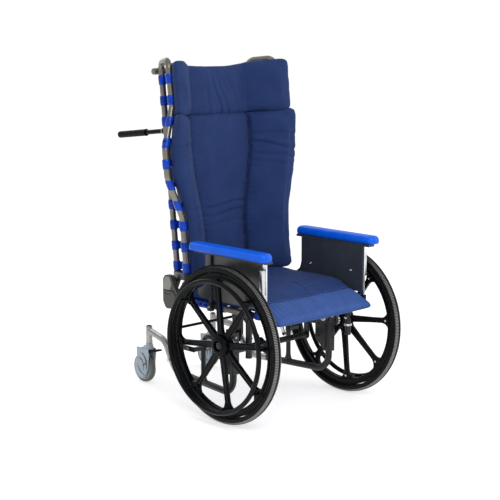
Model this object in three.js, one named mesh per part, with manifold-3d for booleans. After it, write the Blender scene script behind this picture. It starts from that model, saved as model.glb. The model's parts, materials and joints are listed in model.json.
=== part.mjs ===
// A tilt in space wheelchair with large drive wheels, rear casters, a tubular tilting seat,
// a reclining winged back on strapped side ladders, and lift-off arms.
// Millimetres, +Z up, the occupant faces -Y, and their left side is +X.
import * as THREE from 'three';
import { mergeVertices } from 'three/addons/utils/BufferGeometryUtils.js';
import Module from 'manifold-3d';

const wasm = await Module();
wasm.setup();

// Fits and facets
const joinGap = 0.3;
const overrun = 4;
const tubeSides = 10;
const strapSides = 6;
const rodSides = 8;
const wheelFacets = 36;
const hubFacets = 14;
const bendSteps = 4;
const archSteps = 3;
const smallBendSteps = 2;
const filletSteps = 3;

// Drive wheels
const tyreRadius = 305;
const tyreSection = 35;
const wheelTrack = 666;
const tyreLipAngleShare = 0.72;
const tyreSteps = 6;
const rimDepth = 26;
const rimHalfWidth = 13;
const webThickness = 16;
const spokeCount = 8;
const spokeWidth = 24;
const spokeTurn = THREE.MathUtils.degToRad(-7);
const windowCornerRadius = 24;
const windowApexRadius = 9;
const windowMargin = 2;
const hubRadius = 42;
const hubInnerReach = 30;
const hubOuterReach = 31;
const hubNeckRadius = 30;
const hubRecessRadius = 19;
const hubRecessDepth = 12;
const webDish = 5;
const axleRadius = 10;
const axleFlangeRadius = 22;
const handrimRadius = 250;
const handrimTubeRadius = 9.5;
const handrimStandoff = 54;
const handrimPostRadius = 5;
const handrimPostInset = 12;
const handrimSides = 6;
const handrimPostSides = 5;

// Base frame
const legInset = 66;
const legY = 16;
const baseTubeRadius = 14;
const lowerRailZ = 95;
const legTopZ = 300;
const legBendRadius = 62;
const baseTaper = THREE.MathUtils.degToRad(8.05);
const baseSideEndY = 330;
const strutY = 221;
const railTubeRadius = 10;
const upperRailZ = 290;
const strutBendRadius = 45;
const gussetThickness = 8;
const gussetSpread = 30;
const gussetRise = 46;
const uprightWidth = 36;
const uprightBottomZ = 176;
const uprightTopZ = 340;
const uprightPlateDepth = 40;
const uprightPlateThickness = 6;
const uprightPlateBottomZ = 188;
const uprightPlateTaper = 36;
const crossTubeRadius = 12.5;
const crossTubeY = 128;
const crossTubeZ = 227;
const crossLugThickness = 8;
const crossLugWidth = 28;
const rearBarRadius = 6;
const rearBarY = 470;
const rearBarZ = 262;
const rearBarEarWidth = 14;
const rearBarEarThickness = 6;

// Tilt pivot and its hangers
const pivotY = 20;
const pivotZ = 318;
const pivotBoltRadius = 8;
const pivotHeadRadius = 13;
const pivotHeadThickness = 6;
const hangerThickness = 6;
const hangerOffset = 11;
const hangerEyeRadius = 20;
const hangerTopHalfWidth = 32;

// Casters
const casterArmBendRadius = 75;
const casterArmRiseY = 428;
const casterArmCrestY = 505;
const casterArmCrestZ = 208;
const casterStemY = 632;
const casterArmEndZ = 228;
const stemHousingRadius = 13.5;
const stemHousingBottomZ = 172;
const stemHousingTopZ = 246;
const stemRadius = 9;
const stemTopZ = 234;
const casterRadius = 62.5;
const casterWidth = 26;
const casterHubRadius = 40;
const casterHubInset = 3;
const casterTrail = 32;
const casterPinRadius = 5;
const forkCrownBottomZ = 131;
const forkCrownTopZ = 150;
const forkCheekThickness = 6;
const forkCheekRadius = 34;
const forkSideClearance = 3;
const forkCrownFront = 18;
const forkCrownRear = 58;
const forkBearingRadius = 14;
const casterFacets = 20;
const pedalBarrelRadius = 6;
const pedalWidth = 34;
const pedalReach = 40;
const pedalThickness = 6;
const pedalRise = 10;

// Wheel locks
const lockPivotY = 323.6;
const lockPivotZ = 237;
const lockPlateInset = 47;
const lockPlateThickness = 6;
const lockPlateHeight = 20;
const lockPlateOverhang = 12;
const lockStubSize = 16;
const lockPinRadius = 5;
const lockHeadRadius = 8;
const lockHeadThickness = 3.2;
const lockLeverThickness = 6;
const lockLeverWidth = 18;
const lockShoeRadius = 9;
const lockShoeY = 306;
const lockShoeZ = 190;
const lockShoeReach = 19;
const lockHandleY = 334;
const lockHandleZ = 292;
const lockPadLength = 20;
const lockPadThickness = 12;
const lockPadOverhang = 4;

// Seat frame
const seatTubeInset = 17;
const seatTubeZ = 418;
const seatTubeRadius = 12.5;
const seatTubeRearY = 335;
const seatTubeFrontY = -130;
const seatBendRadius = 40;
const seatMidTubeY = 60;
const seatRearTubeY = 300;
const strapThickness = 2.4;
const strapSlack = 0.4;
const seatStrapWidth = 40;
const seatStrapYs = [-40, 98, 178, 222, 266];
const webbingWidth = 14;
const legrestPostY = -80;
const legrestPostTopZ = 432;
const legrestPostBottomZ = 258;
const legrestPostRadius = 12.5;
const legrestRingRadius = 16;
const legrestRingZ = 296;
const legrestRingHeight = 9;

// Recline hinge and its covers
const hingeY = 395;
const hingeZ = 445;
const recline = THREE.MathUtils.degToRad(6.2);
const hingePinRadius = 9;
const hingeHeadRadius = 16;
const hingeHeadThickness = 5;
const coverThickness = 20;
const coverFrontY = 318;
const coverRearY = 413;
const coverBottomZ = 375;
const coverTopZ = 512;
const coverCornerRadius = 22;
const coverNoseTopZ = 436;
const coverNoseBottomZ = 400;
const coverShoulderY = 361;
const hingeArmThickness = 18;
const hingeArmInset = 10;
const hingeEyeRadius = 26;
const hingeArmFrontY = -56;
const clampRadius = 16.5;
const clampBottom = 48;
const clampTop = 76;
const clampFloor = 4;

// Back ladders, in the reclined frame of the back with its origin on the hinge
const backTubeRadius = 12.5;
const rearTubeInset = 18;
const rearTubeY = -22;
const wingTubeY = -134;
const ladderTopRise = 33;
const ladderArchRadius = 30;
const wingBendRadius = 60;
const wingTubeTopReach = 55;
const wingTubeShoulderReach = 106;
const wingTubeWaistReach = 46;
const wingTubeFootReach = 47;
const wingNeckDrop = 179;
const wingShoulderTopDrop = 343;
const wingShoulderBottomDrop = 449;
const wingWaistDrop = 613;
const topTubeRadius = 13.5;
const topTubeHeight = 872;
const topTubeOverhang = 24;
const lowerTubeHeight = 62;
const strapLevelFirst = 98;
const strapTopDrop = 69;
const strapLevels = 10;
const backStrapHeight = 36;
const pushBarHeight = 636;
const pushBarRadius = 9.5;
const gripRadius = 14;
const gripStart = 102;
const gripEnd = 280;
const gripEndWall = 8;
const gripRibCount = 5;
const gripRibDepth = 1.5;

// Gas springs
const springPinRadius = 5;
const springEyeRadius = 12;
const springEyeWidth = 14;
const springBodyRadius = 11;
const springRodRadius = 5;
const springEarThickness = 4;
const springEarGap = 2;
const springEarRadius = 11;
const openPivotClearance = 8;
const openEyeWall = 5;
const tiltSpringFootY = 150;
const tiltSpringFootZ = 240;
const tiltSpringHeadY = 300;
const tiltSpringHeadZ = 380;
const tiltSpringBodyLength = 118;
const tiltSpringBoreStart = 25;
const tiltSpringRodStart = 85;
const reclineSpringX = 108;
const reclineSpringFootZ = 372;
const crankPinY = 2.6;
const crankPinZ = -70.1;
const crankThickness = 8;
const reclineSpringBodyLength = 190;
const reclineSpringBoreStart = 60;
const reclineSpringRodStart = 150;

// Arms
const armReach = 15;
const armPanelThickness = 4;
const armPanelFrontY = -166;
const armPanelRearY = 173;
const armPanelTopZ = 631;
const armPanelBottomZ = 447;
const armFlareY = 217;
const armFlareZ = 482;
const armFlareTipZ = 462;
const armCornerRadius = 10;
const armFlareRadius = 34;
const armCapHeight = 9.7;
const armCapInnerReach = 2;
const armCapOuterReach = 35;
const armCapFrontY = -196;
const armCapRearY = 204;
const frontPostY = -161;
const frontPostDepth = 20;
const frontPostThickness = 6;
const gripBlockY = -157.5;
const gripBlockDepth = 19;
const gripBlockThickness = 16;
const gripBlockBottomZ = 510;
const gripBlockTopZ = 606;
const postBottomZ = 412;
const rearPostY = 138;
const rearPostDepth = 14;
const rearPostThickness = 10;
const socketWall = 4;
const socketTopZ = 436;
const socketBottomZ = 404;
const socketTieHeight = 12;
const socketTieBottomZ = 408;
const socketTieFrontY = -170;
const socketTieReach = 60;
const padReach = 31;
const padWidth = 62;
const padHeight = 31;
const padFrontY = -208;
const padRearY = 216;
const padCornerRadius = 26;
const padBevel = 9;
const padBevelSteps = 2;

// Seat cushion
const seatEdgeReach = 11;
const seatCushionRearY = 332;
const seatTopZ = 497;
const seatBottomZ = 434.5;
const seatBendY = -52;
const seatCreaseY = -118;
const seatCreaseZ = 460;
const seatNoseY = -224;
const seatNoseTopZ = 414;
const seatNoseBottomZ = 400;
const seatUndersideBendY = -148;
const seatSeamDepth = 5;
const seatSeamSpread = 14;
const seatBorderInset = 24;
const seatEdgeDrop = 9;
const seatEdgeInset = 26;
const seatAcrossShares = [1, 0.968, 0.908, 0.85, 0.62, 0.34, 0.06];
const seatAlongShares = [0, 0.02, 0.06, 0.22, 0.4, 0.56, 0.69, 0.735, 0.77, 0.82, 0.9, 0.96, 1];

// Back cushion and headrest, in the frame of the back
const backCushionTubeSpace = 22;
const headrestTubeSpace = 19;
const wingThickness = 44;
const backCushionBottom = 46;
const backCushionTopDrop = 215;
const centreCrown = 11;
const wingCrown = 9;
const seamInset = 5;
const cushionEdge = 34;
const cushionEdgeShare = 0.42;
const wingCornerRadius = 24;
const backSeamTopInset = 72;
const backSeamBottomInset = 120;
const backSeamTopY = -76;
const backSeamBottomY = -56;
const backTipTopReach = 66;
const backTipShoulderReach = 74;
const backTipWaistReach = 24;
const backTipBottomReach = 18;
const backTipTopY = -232;
const backTipMidY = -206;
const backTipBottomY = -196;
const headrestGap = 1;
const headrestTopDrop = 4;
const headrestDip = 15;
const headrestBendInset = 82;
const headrestBendY = -80;
const headrestTipReach = 54;
const headrestTipY = -222;
const crownPowerShare = 0.6;
const seamSpreadShare = 0.1;
const acrossShares = [0, 0.5, 0.93, 1, 1.08, 4 / 3, 5 / 3, 1.88, 2];
const backAlongShares = [0, 0.015, 0.05, 0.16, 0.28, 0.36, 0.44, 0.52, 0.6, 0.68, 0.78, 0.88, 0.96, 0.985, 1];
const headAlongShares = [0, 0.05, 0.16, 0.5, 0.84, 0.95, 1];

// Sizes that follow from the ones above
const tyreHalf = tyreSection / 2;
const tyreCentreRadius = tyreRadius - tyreHalf;
const tyreLipAngle = Math.PI * tyreLipAngleShare;
const tyreSeatRadius = tyreCentreRadius + tyreHalf * Math.cos(tyreLipAngle);
const rimOuterRadius = tyreSeatRadius - joinGap;
const rimInnerRadius = rimOuterRadius - rimDepth;
const axleZ = tyreRadius * Math.cos(Math.PI / wheelFacets);
const wheelX = wheelTrack / 2;
const legX = wheelX - legInset;
const lockPlateX = wheelX - lockPlateInset;
const seatTubeX = legX - seatTubeInset;
const hingeArmX = seatTubeX - hingeArmInset;
const rearTubeX = seatTubeX - rearTubeInset;
const wingTubeTopX = rearTubeX + wingTubeTopReach;
const wingTubeShoulderX = rearTubeX + wingTubeShoulderReach;
const wingTubeWaistX = rearTubeX + wingTubeWaistReach;
const wingTubeFootX = rearTubeX + wingTubeFootReach;
const topTubeHalfLength = rearTubeX + topTubeOverhang;
const ladderTop = topTubeHeight + ladderTopRise;
const wingNeck = ladderTop - wingNeckDrop;
const wingShoulderTop = ladderTop - wingShoulderTopDrop;
const wingShoulderBottom = ladderTop - wingShoulderBottomDrop;
const wingWaist = ladderTop - wingWaistDrop;
const strapPitch = (ladderTop - strapTopDrop - strapLevelFirst) / (strapLevels - 1);
const backCushionTop = ladderTop - backCushionTopDrop;
const headrestBottom = backCushionTop + headrestGap;
const headrestTop = ladderTop - headrestTopDrop;
const armX = seatTubeX + armReach;
const armCapInnerX = armX - armCapInnerReach;
const armCapOuterX = armX + armCapOuterReach;
const socketTieInnerX = seatTubeX - socketTieReach;
const padX = armX + padReach;
const seatHalfWidth = seatTubeX + seatEdgeReach;
const backSeamTopX = rearTubeX - backSeamTopInset;
const backSeamBottomX = rearTubeX - backSeamBottomInset;
const backTipTopX = rearTubeX + backTipTopReach;
const backTipShoulderX = rearTubeX + backTipShoulderReach;
const backTipWaistX = rearTubeX + backTipWaistReach;
const backTipBottomX = rearTubeX + backTipBottomReach;
const headrestBendX = rearTubeX - headrestBendInset;
const headrestTipX = rearTubeX + headrestTipReach;
const strapInner = backTubeRadius + strapSlack;
const strapOuter = strapInner + strapThickness;
const cushionBackY = rearTubeY - strapOuter - joinGap;
const casterAxleZ = casterRadius * Math.cos(Math.PI / casterFacets);
const uprightInnerX = legX - uprightWidth / 2;
const uprightOuterX = legX + uprightWidth / 2;
const hangerInnerX = seatTubeX - hangerOffset - hangerThickness / 2;
const hangerOuterX = hangerInnerX + hangerThickness;
const coverInnerX = seatTubeX + seatTubeRadius + joinGap;
const armPanelOuterX = armX + armPanelThickness / 2;
const frontPostOuterX = armPanelOuterX + joinGap + frontPostThickness;
const legrestPostX = seatTubeX + seatTubeRadius + legrestPostRadius + joinGap;
const openEyeBore = springPinRadius + openPivotClearance;
const openEyeRadius = openEyeBore + openEyeWall;

// Finishes
function finish(color, roughness, metalness) {
  return new THREE.MeshStandardMaterial({ color, roughness, metalness });
}

const charcoalPaint = () => finish(0x2b2c2f, 0.45, 0.3);
const taupePaint = () => finish(0x8a8379, 0.4, 0.5);
const blackPlastic = () => finish(0x111214, 0.5, 0);
const tyreRubber = () => finish(0x1c1d1f, 0.85, 0);
const greyRim = () => finish(0x34373a, 0.5, 0.1);
const brightSteel = () => finish(0xb8bbbe, 0.25, 0.9);
const aluminium = () => finish(0xc6c8ca, 0.35, 0.8);
const casterGrey = () => finish(0x9aa9b8, 0.5, 0);
const navyCloth = () => finish(0x27407c, 0.75, 0);
const strapVinyl = () => finish(0x1348b8, 0.35, 0);
const padBlue = () => finish(0x0b57e0, 0.4, 0);
const panelCharcoal = () => finish(0x303236, 0.5, 0.1);

// Solids and meshes

function signedVolume(position, index) {
  const a = new THREE.Vector3();
  const b = new THREE.Vector3();
  const c = new THREE.Vector3();
  let sum = 0;
  for (let i = 0; i < index.count; i += 3) {
    a.fromBufferAttribute(position, index.getX(i));
    b.fromBufferAttribute(position, index.getX(i + 1));
    c.fromBufferAttribute(position, index.getX(i + 2));
    sum += a.dot(b.cross(c));
  }
  return sum;
}

function solid(geometry) {
  const bare = geometry.clone();
  bare.deleteAttribute('normal');
  bare.deleteAttribute('uv');
  const merged = mergeVertices(bare);
  const triVerts = Uint32Array.from(merged.index.array);
  if (signedVolume(merged.attributes.position, merged.index) < 0) {
    triVerts.reverse();
  }
  const vertProperties = Float32Array.from(merged.attributes.position.array);
  return new wasm.Manifold(new wasm.Mesh({ numProp: 3, vertProperties, triVerts }));
}

function joined(solids) {
  return solids.reduce((whole, next) => whole.add(next));
}

function cut(body, cuts) {
  return cuts.reduce((rest, next) => rest.subtract(next), body);
}

function geometryOf(body) {
  const mesh = body.getMesh();
  const geometry = new THREE.BufferGeometry();
  geometry.setAttribute('position', new THREE.BufferAttribute(mesh.vertProperties.slice(), 3));
  geometry.setIndex(new THREE.BufferAttribute(mesh.triVerts.slice(), 1));
  geometry.computeVertexNormals();
  return geometry;
}

function mirrored(body) {
  return solid(geometryOf(body).scale(-1, 1, 1));
}

function piece(name, body, material) {
  const mesh = new THREE.Mesh(geometryOf(body), material);
  mesh.name = name;
  return mesh;
}

function pair(group, name, body, material) {
  group.add(piece(`${name}_left`, body, material()));
  group.add(piece(`${name}_right`, mirrored(body), material()));
}

// Shapes

function polygon(radius, sides, turn = 0) {
  const shape = new THREE.Shape();
  for (let i = 0; i < sides; i += 1) {
    const angle = turn + (2 * Math.PI * i) / sides;
    shape[i ? 'lineTo' : 'moveTo'](radius * Math.cos(angle), radius * Math.sin(angle));
  }
  return shape;
}

// Corners are [x, y] or [x, y, radius]; a radius rounds that corner.
function filletedPoints(corners, steps = filletSteps) {
  return corners.flatMap(([x, y, radius], i) => {
    const corner = new THREE.Vector2(x, y);
    if (!radius) return [corner];
    const before = corners[(i + corners.length - 1) % corners.length];
    const after = corners[(i + 1) % corners.length];
    const toBefore = new THREE.Vector2(before[0] - x, before[1] - y).normalize();
    const toAfter = new THREE.Vector2(after[0] - x, after[1] - y).normalize();
    const half = Math.acos(THREE.MathUtils.clamp(toBefore.dot(toAfter), -1, 1)) / 2;
    const bisector = toBefore.clone().add(toAfter).normalize();
    const centre = corner.clone().addScaledVector(bisector, radius / Math.sin(half));
    const start = corner.clone().addScaledVector(toBefore, radius / Math.tan(half)).sub(centre);
    const end = corner.clone().addScaledVector(toAfter, radius / Math.tan(half)).sub(centre);
    const sweep = Math.atan2(start.cross(end), start.dot(end));
    const origin = new THREE.Vector2();
    return Array.from({ length: steps + 1 }, (_, k) =>
      start.clone().rotateAround(origin, (sweep * k) / steps).add(centre));
  });
}

function outline(corners) {
  return new THREE.Shape(filletedPoints(corners));
}

// A capsule outline between two points
function capsule(from, to, radius, steps) {
  const direction = Math.atan2(to.y - from.y, to.x - from.x);
  const points = [];
  for (const [centre, start] of [[to, direction - Math.PI / 2], [from, direction + Math.PI / 2]]) {
    for (let k = 0; k <= steps; k += 1) {
      const angle = start + (Math.PI * k) / steps;
      const arm = new THREE.Vector2(radius, 0).rotateAround(new THREE.Vector2(), angle);
      points.push(arm.add(centre));
    }
  }
  return new THREE.Shape(points);
}

// A prism whose outline lies in X and Y and rises from bottom to top
function standing(shape, bottom, top) {
  return solid(new THREE.ExtrudeGeometry(shape, { depth: top - bottom, bevelEnabled: false })
    .translate(0, 0, bottom));
}

// A prism whose outline lies in Y and Z and runs from x = inner to x = outer
function sideways(shape, inner, outer) {
  const turn = new THREE.Matrix4().makeBasis(
    new THREE.Vector3(0, 1, 0), new THREE.Vector3(0, 0, 1), new THREE.Vector3(1, 0, 0));
  return solid(new THREE.ExtrudeGeometry(shape, { depth: outer - inner, bevelEnabled: false })
    .applyMatrix4(turn).translate(inner, 0, 0));
}

function block(x0, x1, y0, y1, z0, z1) {
  return solid(new THREE.BoxGeometry(x1 - x0, y1 - y0, z1 - z0)
    .translate((x0 + x1) / 2, (y0 + y1) / 2, (z0 + z1) / 2));
}

// The line of a bent tube: straight runs between corners, with a round bend at each inner corner
class BentLine extends THREE.Curve {
  constructor(corners, radii, steps) {
    super();
    this.points = [];
    this.tangents = [];
    corners.forEach((corner, i) => {
      const incoming = i ? corner.clone().sub(corners[i - 1]).normalize() : null;
      const outgoing = i < corners.length - 1 ? corners[i + 1].clone().sub(corner).normalize() : null;
      if (!incoming || !outgoing) {
        this.points.push(corner.clone());
        this.tangents.push((incoming || outgoing).clone());
        return;
      }
      const angle = incoming.angleTo(outgoing);
      const radius = radii[i - 1];
      const inward = outgoing.clone().addScaledVector(incoming, -Math.cos(angle)).normalize();
      const start = corner.clone().addScaledVector(incoming, -radius * Math.tan(angle / 2));
      const count = steps[i - 1];
      for (let k = 0; k <= count; k += 1) {
        const turn = (angle * k) / count;
        this.points.push(start.clone()
          .addScaledVector(incoming, radius * Math.sin(turn))
          .addScaledVector(inward, radius * (1 - Math.cos(turn))));
        this.tangents.push(incoming.clone().multiplyScalar(Math.cos(turn))
          .addScaledVector(inward, Math.sin(turn)));
      }
    });
  }

  getPointAt(share, target = new THREE.Vector3()) {
    return target.copy(this.points[Math.round(share * (this.points.length - 1))]);
  }

  getTangentAt(share, target = new THREE.Vector3()) {
    return target.copy(this.tangents[Math.round(share * (this.tangents.length - 1))]);
  }
}

function tube(corners, radius, radii = [], steps = [], sides = tubeSides) {
  const line = new BentLine(corners, radii, steps);
  return solid(new THREE.ExtrudeGeometry(polygon(radius, sides), {
    steps: line.points.length - 1,
    bevelEnabled: false,
    extrudePath: line,
  }));
}

function rod(from, to, radius, sides = rodSides) {
  return tube([from, to], radius, [], [], sides);
}

// The radius of a faceted bore whose flats clear a round piece
function clear(radius, sides = rodSides) {
  return (radius + joinGap) / Math.cos(Math.PI / sides);
}

const at = (x, y, z) => new THREE.Vector3(x, y, z);

// A body of revolution about X; the profile's points are [radius, x]
function turned(profile, facets) {
  const points = profile.map(([radius, x]) => new THREE.Vector2(radius, x));
  return solid(new THREE.LatheGeometry(points, facets, Math.PI / facets).rotateZ(-Math.PI / 2));
}

// Drive wheels, about their own centre with +X outward

function tyre() {
  const profile = [];
  for (let k = 0; k <= tyreSteps; k += 1) {
    const angle = tyreLipAngle * ((2 * k) / tyreSteps - 1);
    profile.push([tyreCentreRadius + tyreHalf * Math.cos(angle), tyreHalf * Math.sin(angle)]);
  }
  profile.push(profile[0]);
  return turned(profile, wheelFacets);
}

function rim() {
  return turned([
    [rimInnerRadius, -rimHalfWidth], [rimInnerRadius, rimHalfWidth],
    [rimOuterRadius, rimHalfWidth], [rimOuterRadius, -rimHalfWidth], [rimInnerRadius, -rimHalfWidth],
  ], wheelFacets);
}

// The opening between two spokes, its apex toward the hub
function spokeWindow() {
  const half = Math.PI / spokeCount;
  const outer = rimInnerRadius - windowMargin;
  const edge = half - Math.asin(spokeWidth / 2 / outer);
  const apex = spokeWidth / 2 / Math.sin(half);
  return filletedPoints([
    [apex, 0, windowApexRadius],
    [outer * Math.cos(edge), -outer * Math.sin(edge), windowCornerRadius],
    [outer, 0],
    [outer * Math.cos(edge), outer * Math.sin(edge), windowCornerRadius],
  ], smallBendSteps);
}

function dishAt(radius) {
  return webDish * THREE.MathUtils.clamp(1 - (radius - hubRadius) / (rimInnerRadius - hubRadius), 0, 1);
}

function wheelWeb() {
  const plate = polygon(rimInnerRadius + windowMargin, wheelFacets, Math.PI / wheelFacets);
  const origin = new THREE.Vector2();
  for (let i = 0; i < spokeCount; i += 1) {
    const turn = spokeTurn + (2 * Math.PI * (i + 1 / 2)) / spokeCount;
    plate.holes.push(new THREE.Path(spokeWindow().map((point) => point.clone().rotateAround(origin, turn))));
  }
  const geometry = new THREE.ExtrudeGeometry(plate, { depth: webThickness, bevelEnabled: false })
    .translate(0, 0, -webThickness / 2);
  const position = geometry.attributes.position;
  for (let i = 0; i < position.count; i += 1) {
    position.setZ(i, position.getZ(i) + dishAt(Math.hypot(position.getX(i), position.getY(i))));
  }
  return solid(geometry.rotateY(Math.PI / 2));
}

function hub() {
  const body = turned([
    [0, -hubInnerReach], [hubNeckRadius, -hubInnerReach], [hubNeckRadius, -webThickness / 2],
    [hubRadius, -webThickness / 2], [hubRadius, hubOuterReach], [hubRecessRadius, hubOuterReach],
    [hubRecessRadius, hubOuterReach - hubRecessDepth], [0, hubOuterReach - hubRecessDepth],
  ], hubFacets);
  return body;
}

function wheelBody() {
  const bore = rod(at(-hubInnerReach - overrun, 0, 0), at(hubOuterReach + overrun, 0, 0),
    clear(axleRadius, tubeSides), tubeSides);
  return cut(joined([wheelWeb(), rim(), hub()]), [bore]);
}

function handrim() {
  const ring = [];
  for (let k = 0; k <= handrimSides; k += 1) {
    const angle = (2 * Math.PI * k) / handrimSides;
    ring.push([handrimRadius + handrimTubeRadius * Math.cos(angle),
      handrimStandoff + handrimTubeRadius * Math.sin(angle)]);
  }
  const footRadius = rimInnerRadius - handrimPostInset;
  const footX = webThickness / 2 + dishAt(footRadius - handrimPostRadius) + joinGap;
  const headX = handrimStandoff - handrimTubeRadius / 2;
  const posts = [];
  for (let i = 0; i < spokeCount; i += 1) {
    const angle = spokeTurn + (2 * Math.PI * i) / spokeCount;
    const spot = (radius, x) => at(x, radius * Math.cos(angle), radius * Math.sin(angle));
    posts.push(rod(spot(footRadius, footX - overrun), spot(handrimRadius, headX), handrimPostRadius,
      handrimPostSides));
  }
  const web = solid(geometryOf(wheelWeb()).translate(joinGap, 0, 0));
  return cut(joined([turned(ring, wheelFacets), ...posts]), [web]);
}

// Base frame. Each side lies in an upright plane that runs inward toward the rear.

function sideX(y) {
  return legX - (y - legY) * Math.tan(baseTaper);
}

function onSide(y, z) {
  return at(sideX(y), y, z);
}

function baseSide() {
  const lower = tube([onSide(legY, legTopZ), onSide(legY, lowerRailZ), onSide(baseSideEndY, lowerRailZ)],
    baseTubeRadius, [legBendRadius], [bendSteps + 1]);
  const railEndY = legY + uprightWidth / 2 + joinGap;
  const upper = tube([onSide(strutY, lowerRailZ), onSide(strutY, upperRailZ), onSide(legY, upperRailZ)],
    railTubeRadius, [strutBendRadius], [bendSteps]);
  const sleeveSpace = block(0, wheelX, legY - uprightWidth, railEndY, lowerRailZ, uprightTopZ);
  const gusset = sideways(outline([
    [strutY - gussetSpread, lowerRailZ], [strutY + gussetSpread, lowerRailZ],
    [strutY + railTubeRadius, lowerRailZ + gussetRise], [strutY - railTubeRadius, lowerRailZ + gussetRise],
  ]), sideX(strutY) - gussetThickness / 2, sideX(strutY) + gussetThickness / 2);
  return joined([lower, cut(upper, [sleeveSpace]), gusset]);
}

function upright() {
  const half = uprightWidth / 2;
  const sleeve = block(uprightInnerX, uprightOuterX, legY - half, legY + half, uprightBottomZ, uprightTopZ);
  const plateRear = legY + half + uprightPlateDepth;
  const plate = sideways(outline([
    [legY, uprightTopZ], [legY, uprightPlateBottomZ], [legY + half, uprightPlateBottomZ],
    [plateRear, uprightPlateBottomZ + uprightPlateTaper], [plateRear, uprightTopZ],
  ]), uprightInnerX - uprightPlateThickness / 2, uprightInnerX + uprightPlateThickness / 2);
  const boltEndX = hangerInnerX - joinGap;
  const bolt = rod(at(legX, pivotY, pivotZ), at(boltEndX, pivotY, pivotZ), pivotBoltRadius, tubeSides);
  const head = rod(at(boltEndX, pivotY, pivotZ), at(boltEndX - pivotHeadThickness, pivotY, pivotZ),
    pivotHeadRadius, tubeSides);
  const bore = rod(at(legX, legY, uprightBottomZ - overrun), at(legX, legY, legTopZ + joinGap),
    clear(baseTubeRadius, tubeSides), tubeSides);
  const rearRail = rod(onSide(legY, upperRailZ), onSide(strutY, upperRailZ),
    clear(railTubeRadius, tubeSides), tubeSides);
  const railSpace = cut(rearRail, [block(uprightInnerX - uprightWidth, uprightOuterX, legY - uprightWidth,
    legY + half, lowerRailZ, uprightTopZ)]);
  return joined([cut(joined([sleeve, plate]), [bore, railSpace]), bolt, head]);
}

function axle() {
  const flangeX = uprightOuterX + joinGap;
  const hubFaceX = wheelX - hubInnerReach - joinGap;
  return joined([
    rod(at(flangeX, 0, axleZ), at(wheelX + hubOuterReach - hubRecessDepth + overrun, 0, axleZ),
      axleRadius, tubeSides),
    rod(at(flangeX, 0, axleZ), at(hubFaceX, 0, axleZ), axleFlangeRadius, tubeSides),
  ]);
}

function springEars(x, pinY, pinZ, tubeY, tubeZ) {
  const inner = springEyeWidth / 2 + springEarGap;
  const line = capsule(new THREE.Vector2(pinY, pinZ), new THREE.Vector2(tubeY, tubeZ),
    springEarRadius, filletSteps + 1);
  const ears = [x - inner - springEarThickness, x + inner].map((start) =>
    sideways(line, start, start + springEarThickness));
  const reach = inner + springEarThickness;
  return joined([...ears, rod(at(x - reach, pinY, pinZ), at(x + reach, pinY, pinZ), springPinRadius)]);
}

function baseCrossTube() {
  const end = sideX(crossTubeY);
  const bar = rod(at(-end, crossTubeY, crossTubeZ), at(end, crossTubeY, crossTubeZ), crossTubeRadius,
    tubeSides);
  const lugTop = upperRailZ - railTubeRadius - joinGap;
  const lugs = [-end, end].map((x) => block(x - crossLugThickness / 2, x + crossLugThickness / 2,
    crossTubeY - crossLugWidth / 2, crossTubeY + crossLugWidth / 2, crossTubeZ - crossTubeRadius, lugTop));
  return joined([bar, ...lugs, springEars(0, tiltSpringFootY, tiltSpringFootZ, crossTubeY, crossTubeZ)]);
}

// Casters

function casterArmTube(grow) {
  return tube([onSide(baseSideEndY + joinGap, lowerRailZ), onSide(casterArmRiseY, lowerRailZ),
    onSide(casterArmCrestY, casterArmCrestZ), onSide(casterStemY, casterArmEndZ)], baseTubeRadius + grow,
  [casterArmBendRadius, casterArmBendRadius], [archSteps, archSteps]);
}

function casterArm() {
  const onStem = (z) => onSide(casterStemY, z);
  const stem = (bottom, top, radius) => rod(onStem(bottom), onStem(top), radius, tubeSides);
  const housing = stem(stemHousingBottomZ, stemHousingTopZ, stemHousingRadius);
  const bore = stem(stemHousingBottomZ - overrun, stemTopZ + joinGap, clear(stemRadius, tubeSides));
  return cut(joined([casterArmTube(0), housing]), [bore]);
}

function rearCrossBar() {
  const end = sideX(rearBarY);
  const bar = rod(at(-end, rearBarY, rearBarZ), at(end, rearBarY, rearBarZ), rearBarRadius);
  const ear = block(end - rearBarEarThickness / 2, end + rearBarEarThickness / 2,
    rearBarY - rearBarEarWidth / 2, rearBarY + rearBarEarWidth / 2, lowerRailZ + baseTubeRadius, rearBarZ);
  const arm = casterArmTube(joinGap / Math.cos(Math.PI / tubeSides));
  const below = block(end - baseTubeRadius, end + baseTubeRadius, rearBarY - rearBarEarWidth,
    rearBarY + rearBarEarWidth, 0, (casterArmCrestZ + lowerRailZ) / 2);
  const seated = cut(ear, [arm, below]);
  return joined([bar, seated, mirrored(seated)]);
}

// Fork, wheel and pedal stand about the swivel axis, with the floor at 0
function casterFork() {
  const inner = casterWidth / 2 + forkSideClearance;
  const outer = inner + forkCheekThickness;
  const cheek = outline([
    [-forkCrownFront, forkCrownTopZ], [-forkCrownFront, forkCrownBottomZ],
    [casterTrail - forkCheekRadius, casterAxleZ, forkCheekRadius / 2],
    [casterTrail, casterAxleZ - forkCheekRadius, forkCheekRadius / 2],
    [casterTrail + forkCheekRadius, casterAxleZ, forkCheekRadius / 2],
    [forkCrownRear, forkCrownBottomZ], [forkCrownRear, forkCrownTopZ],
  ]);
  const crown = block(-outer, outer, -forkCrownFront, forkCrownRear, forkCrownBottomZ, forkCrownTopZ);
  const stem = rod(at(0, 0, forkCrownBottomZ), at(0, 0, stemTopZ), stemRadius, tubeSides);
  const bearing = rod(at(0, 0, forkCrownTopZ), at(0, 0, stemHousingBottomZ - joinGap), forkBearingRadius,
    tubeSides);
  const pin = rod(at(-outer, casterTrail, casterAxleZ), at(outer, casterTrail, casterAxleZ), casterPinRadius);
  const cheeks = [sideways(cheek, inner, outer), sideways(cheek, -outer, -inner)];
  return joined([...cheeks, crown, bearing, stem, pin]);
}

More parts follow.
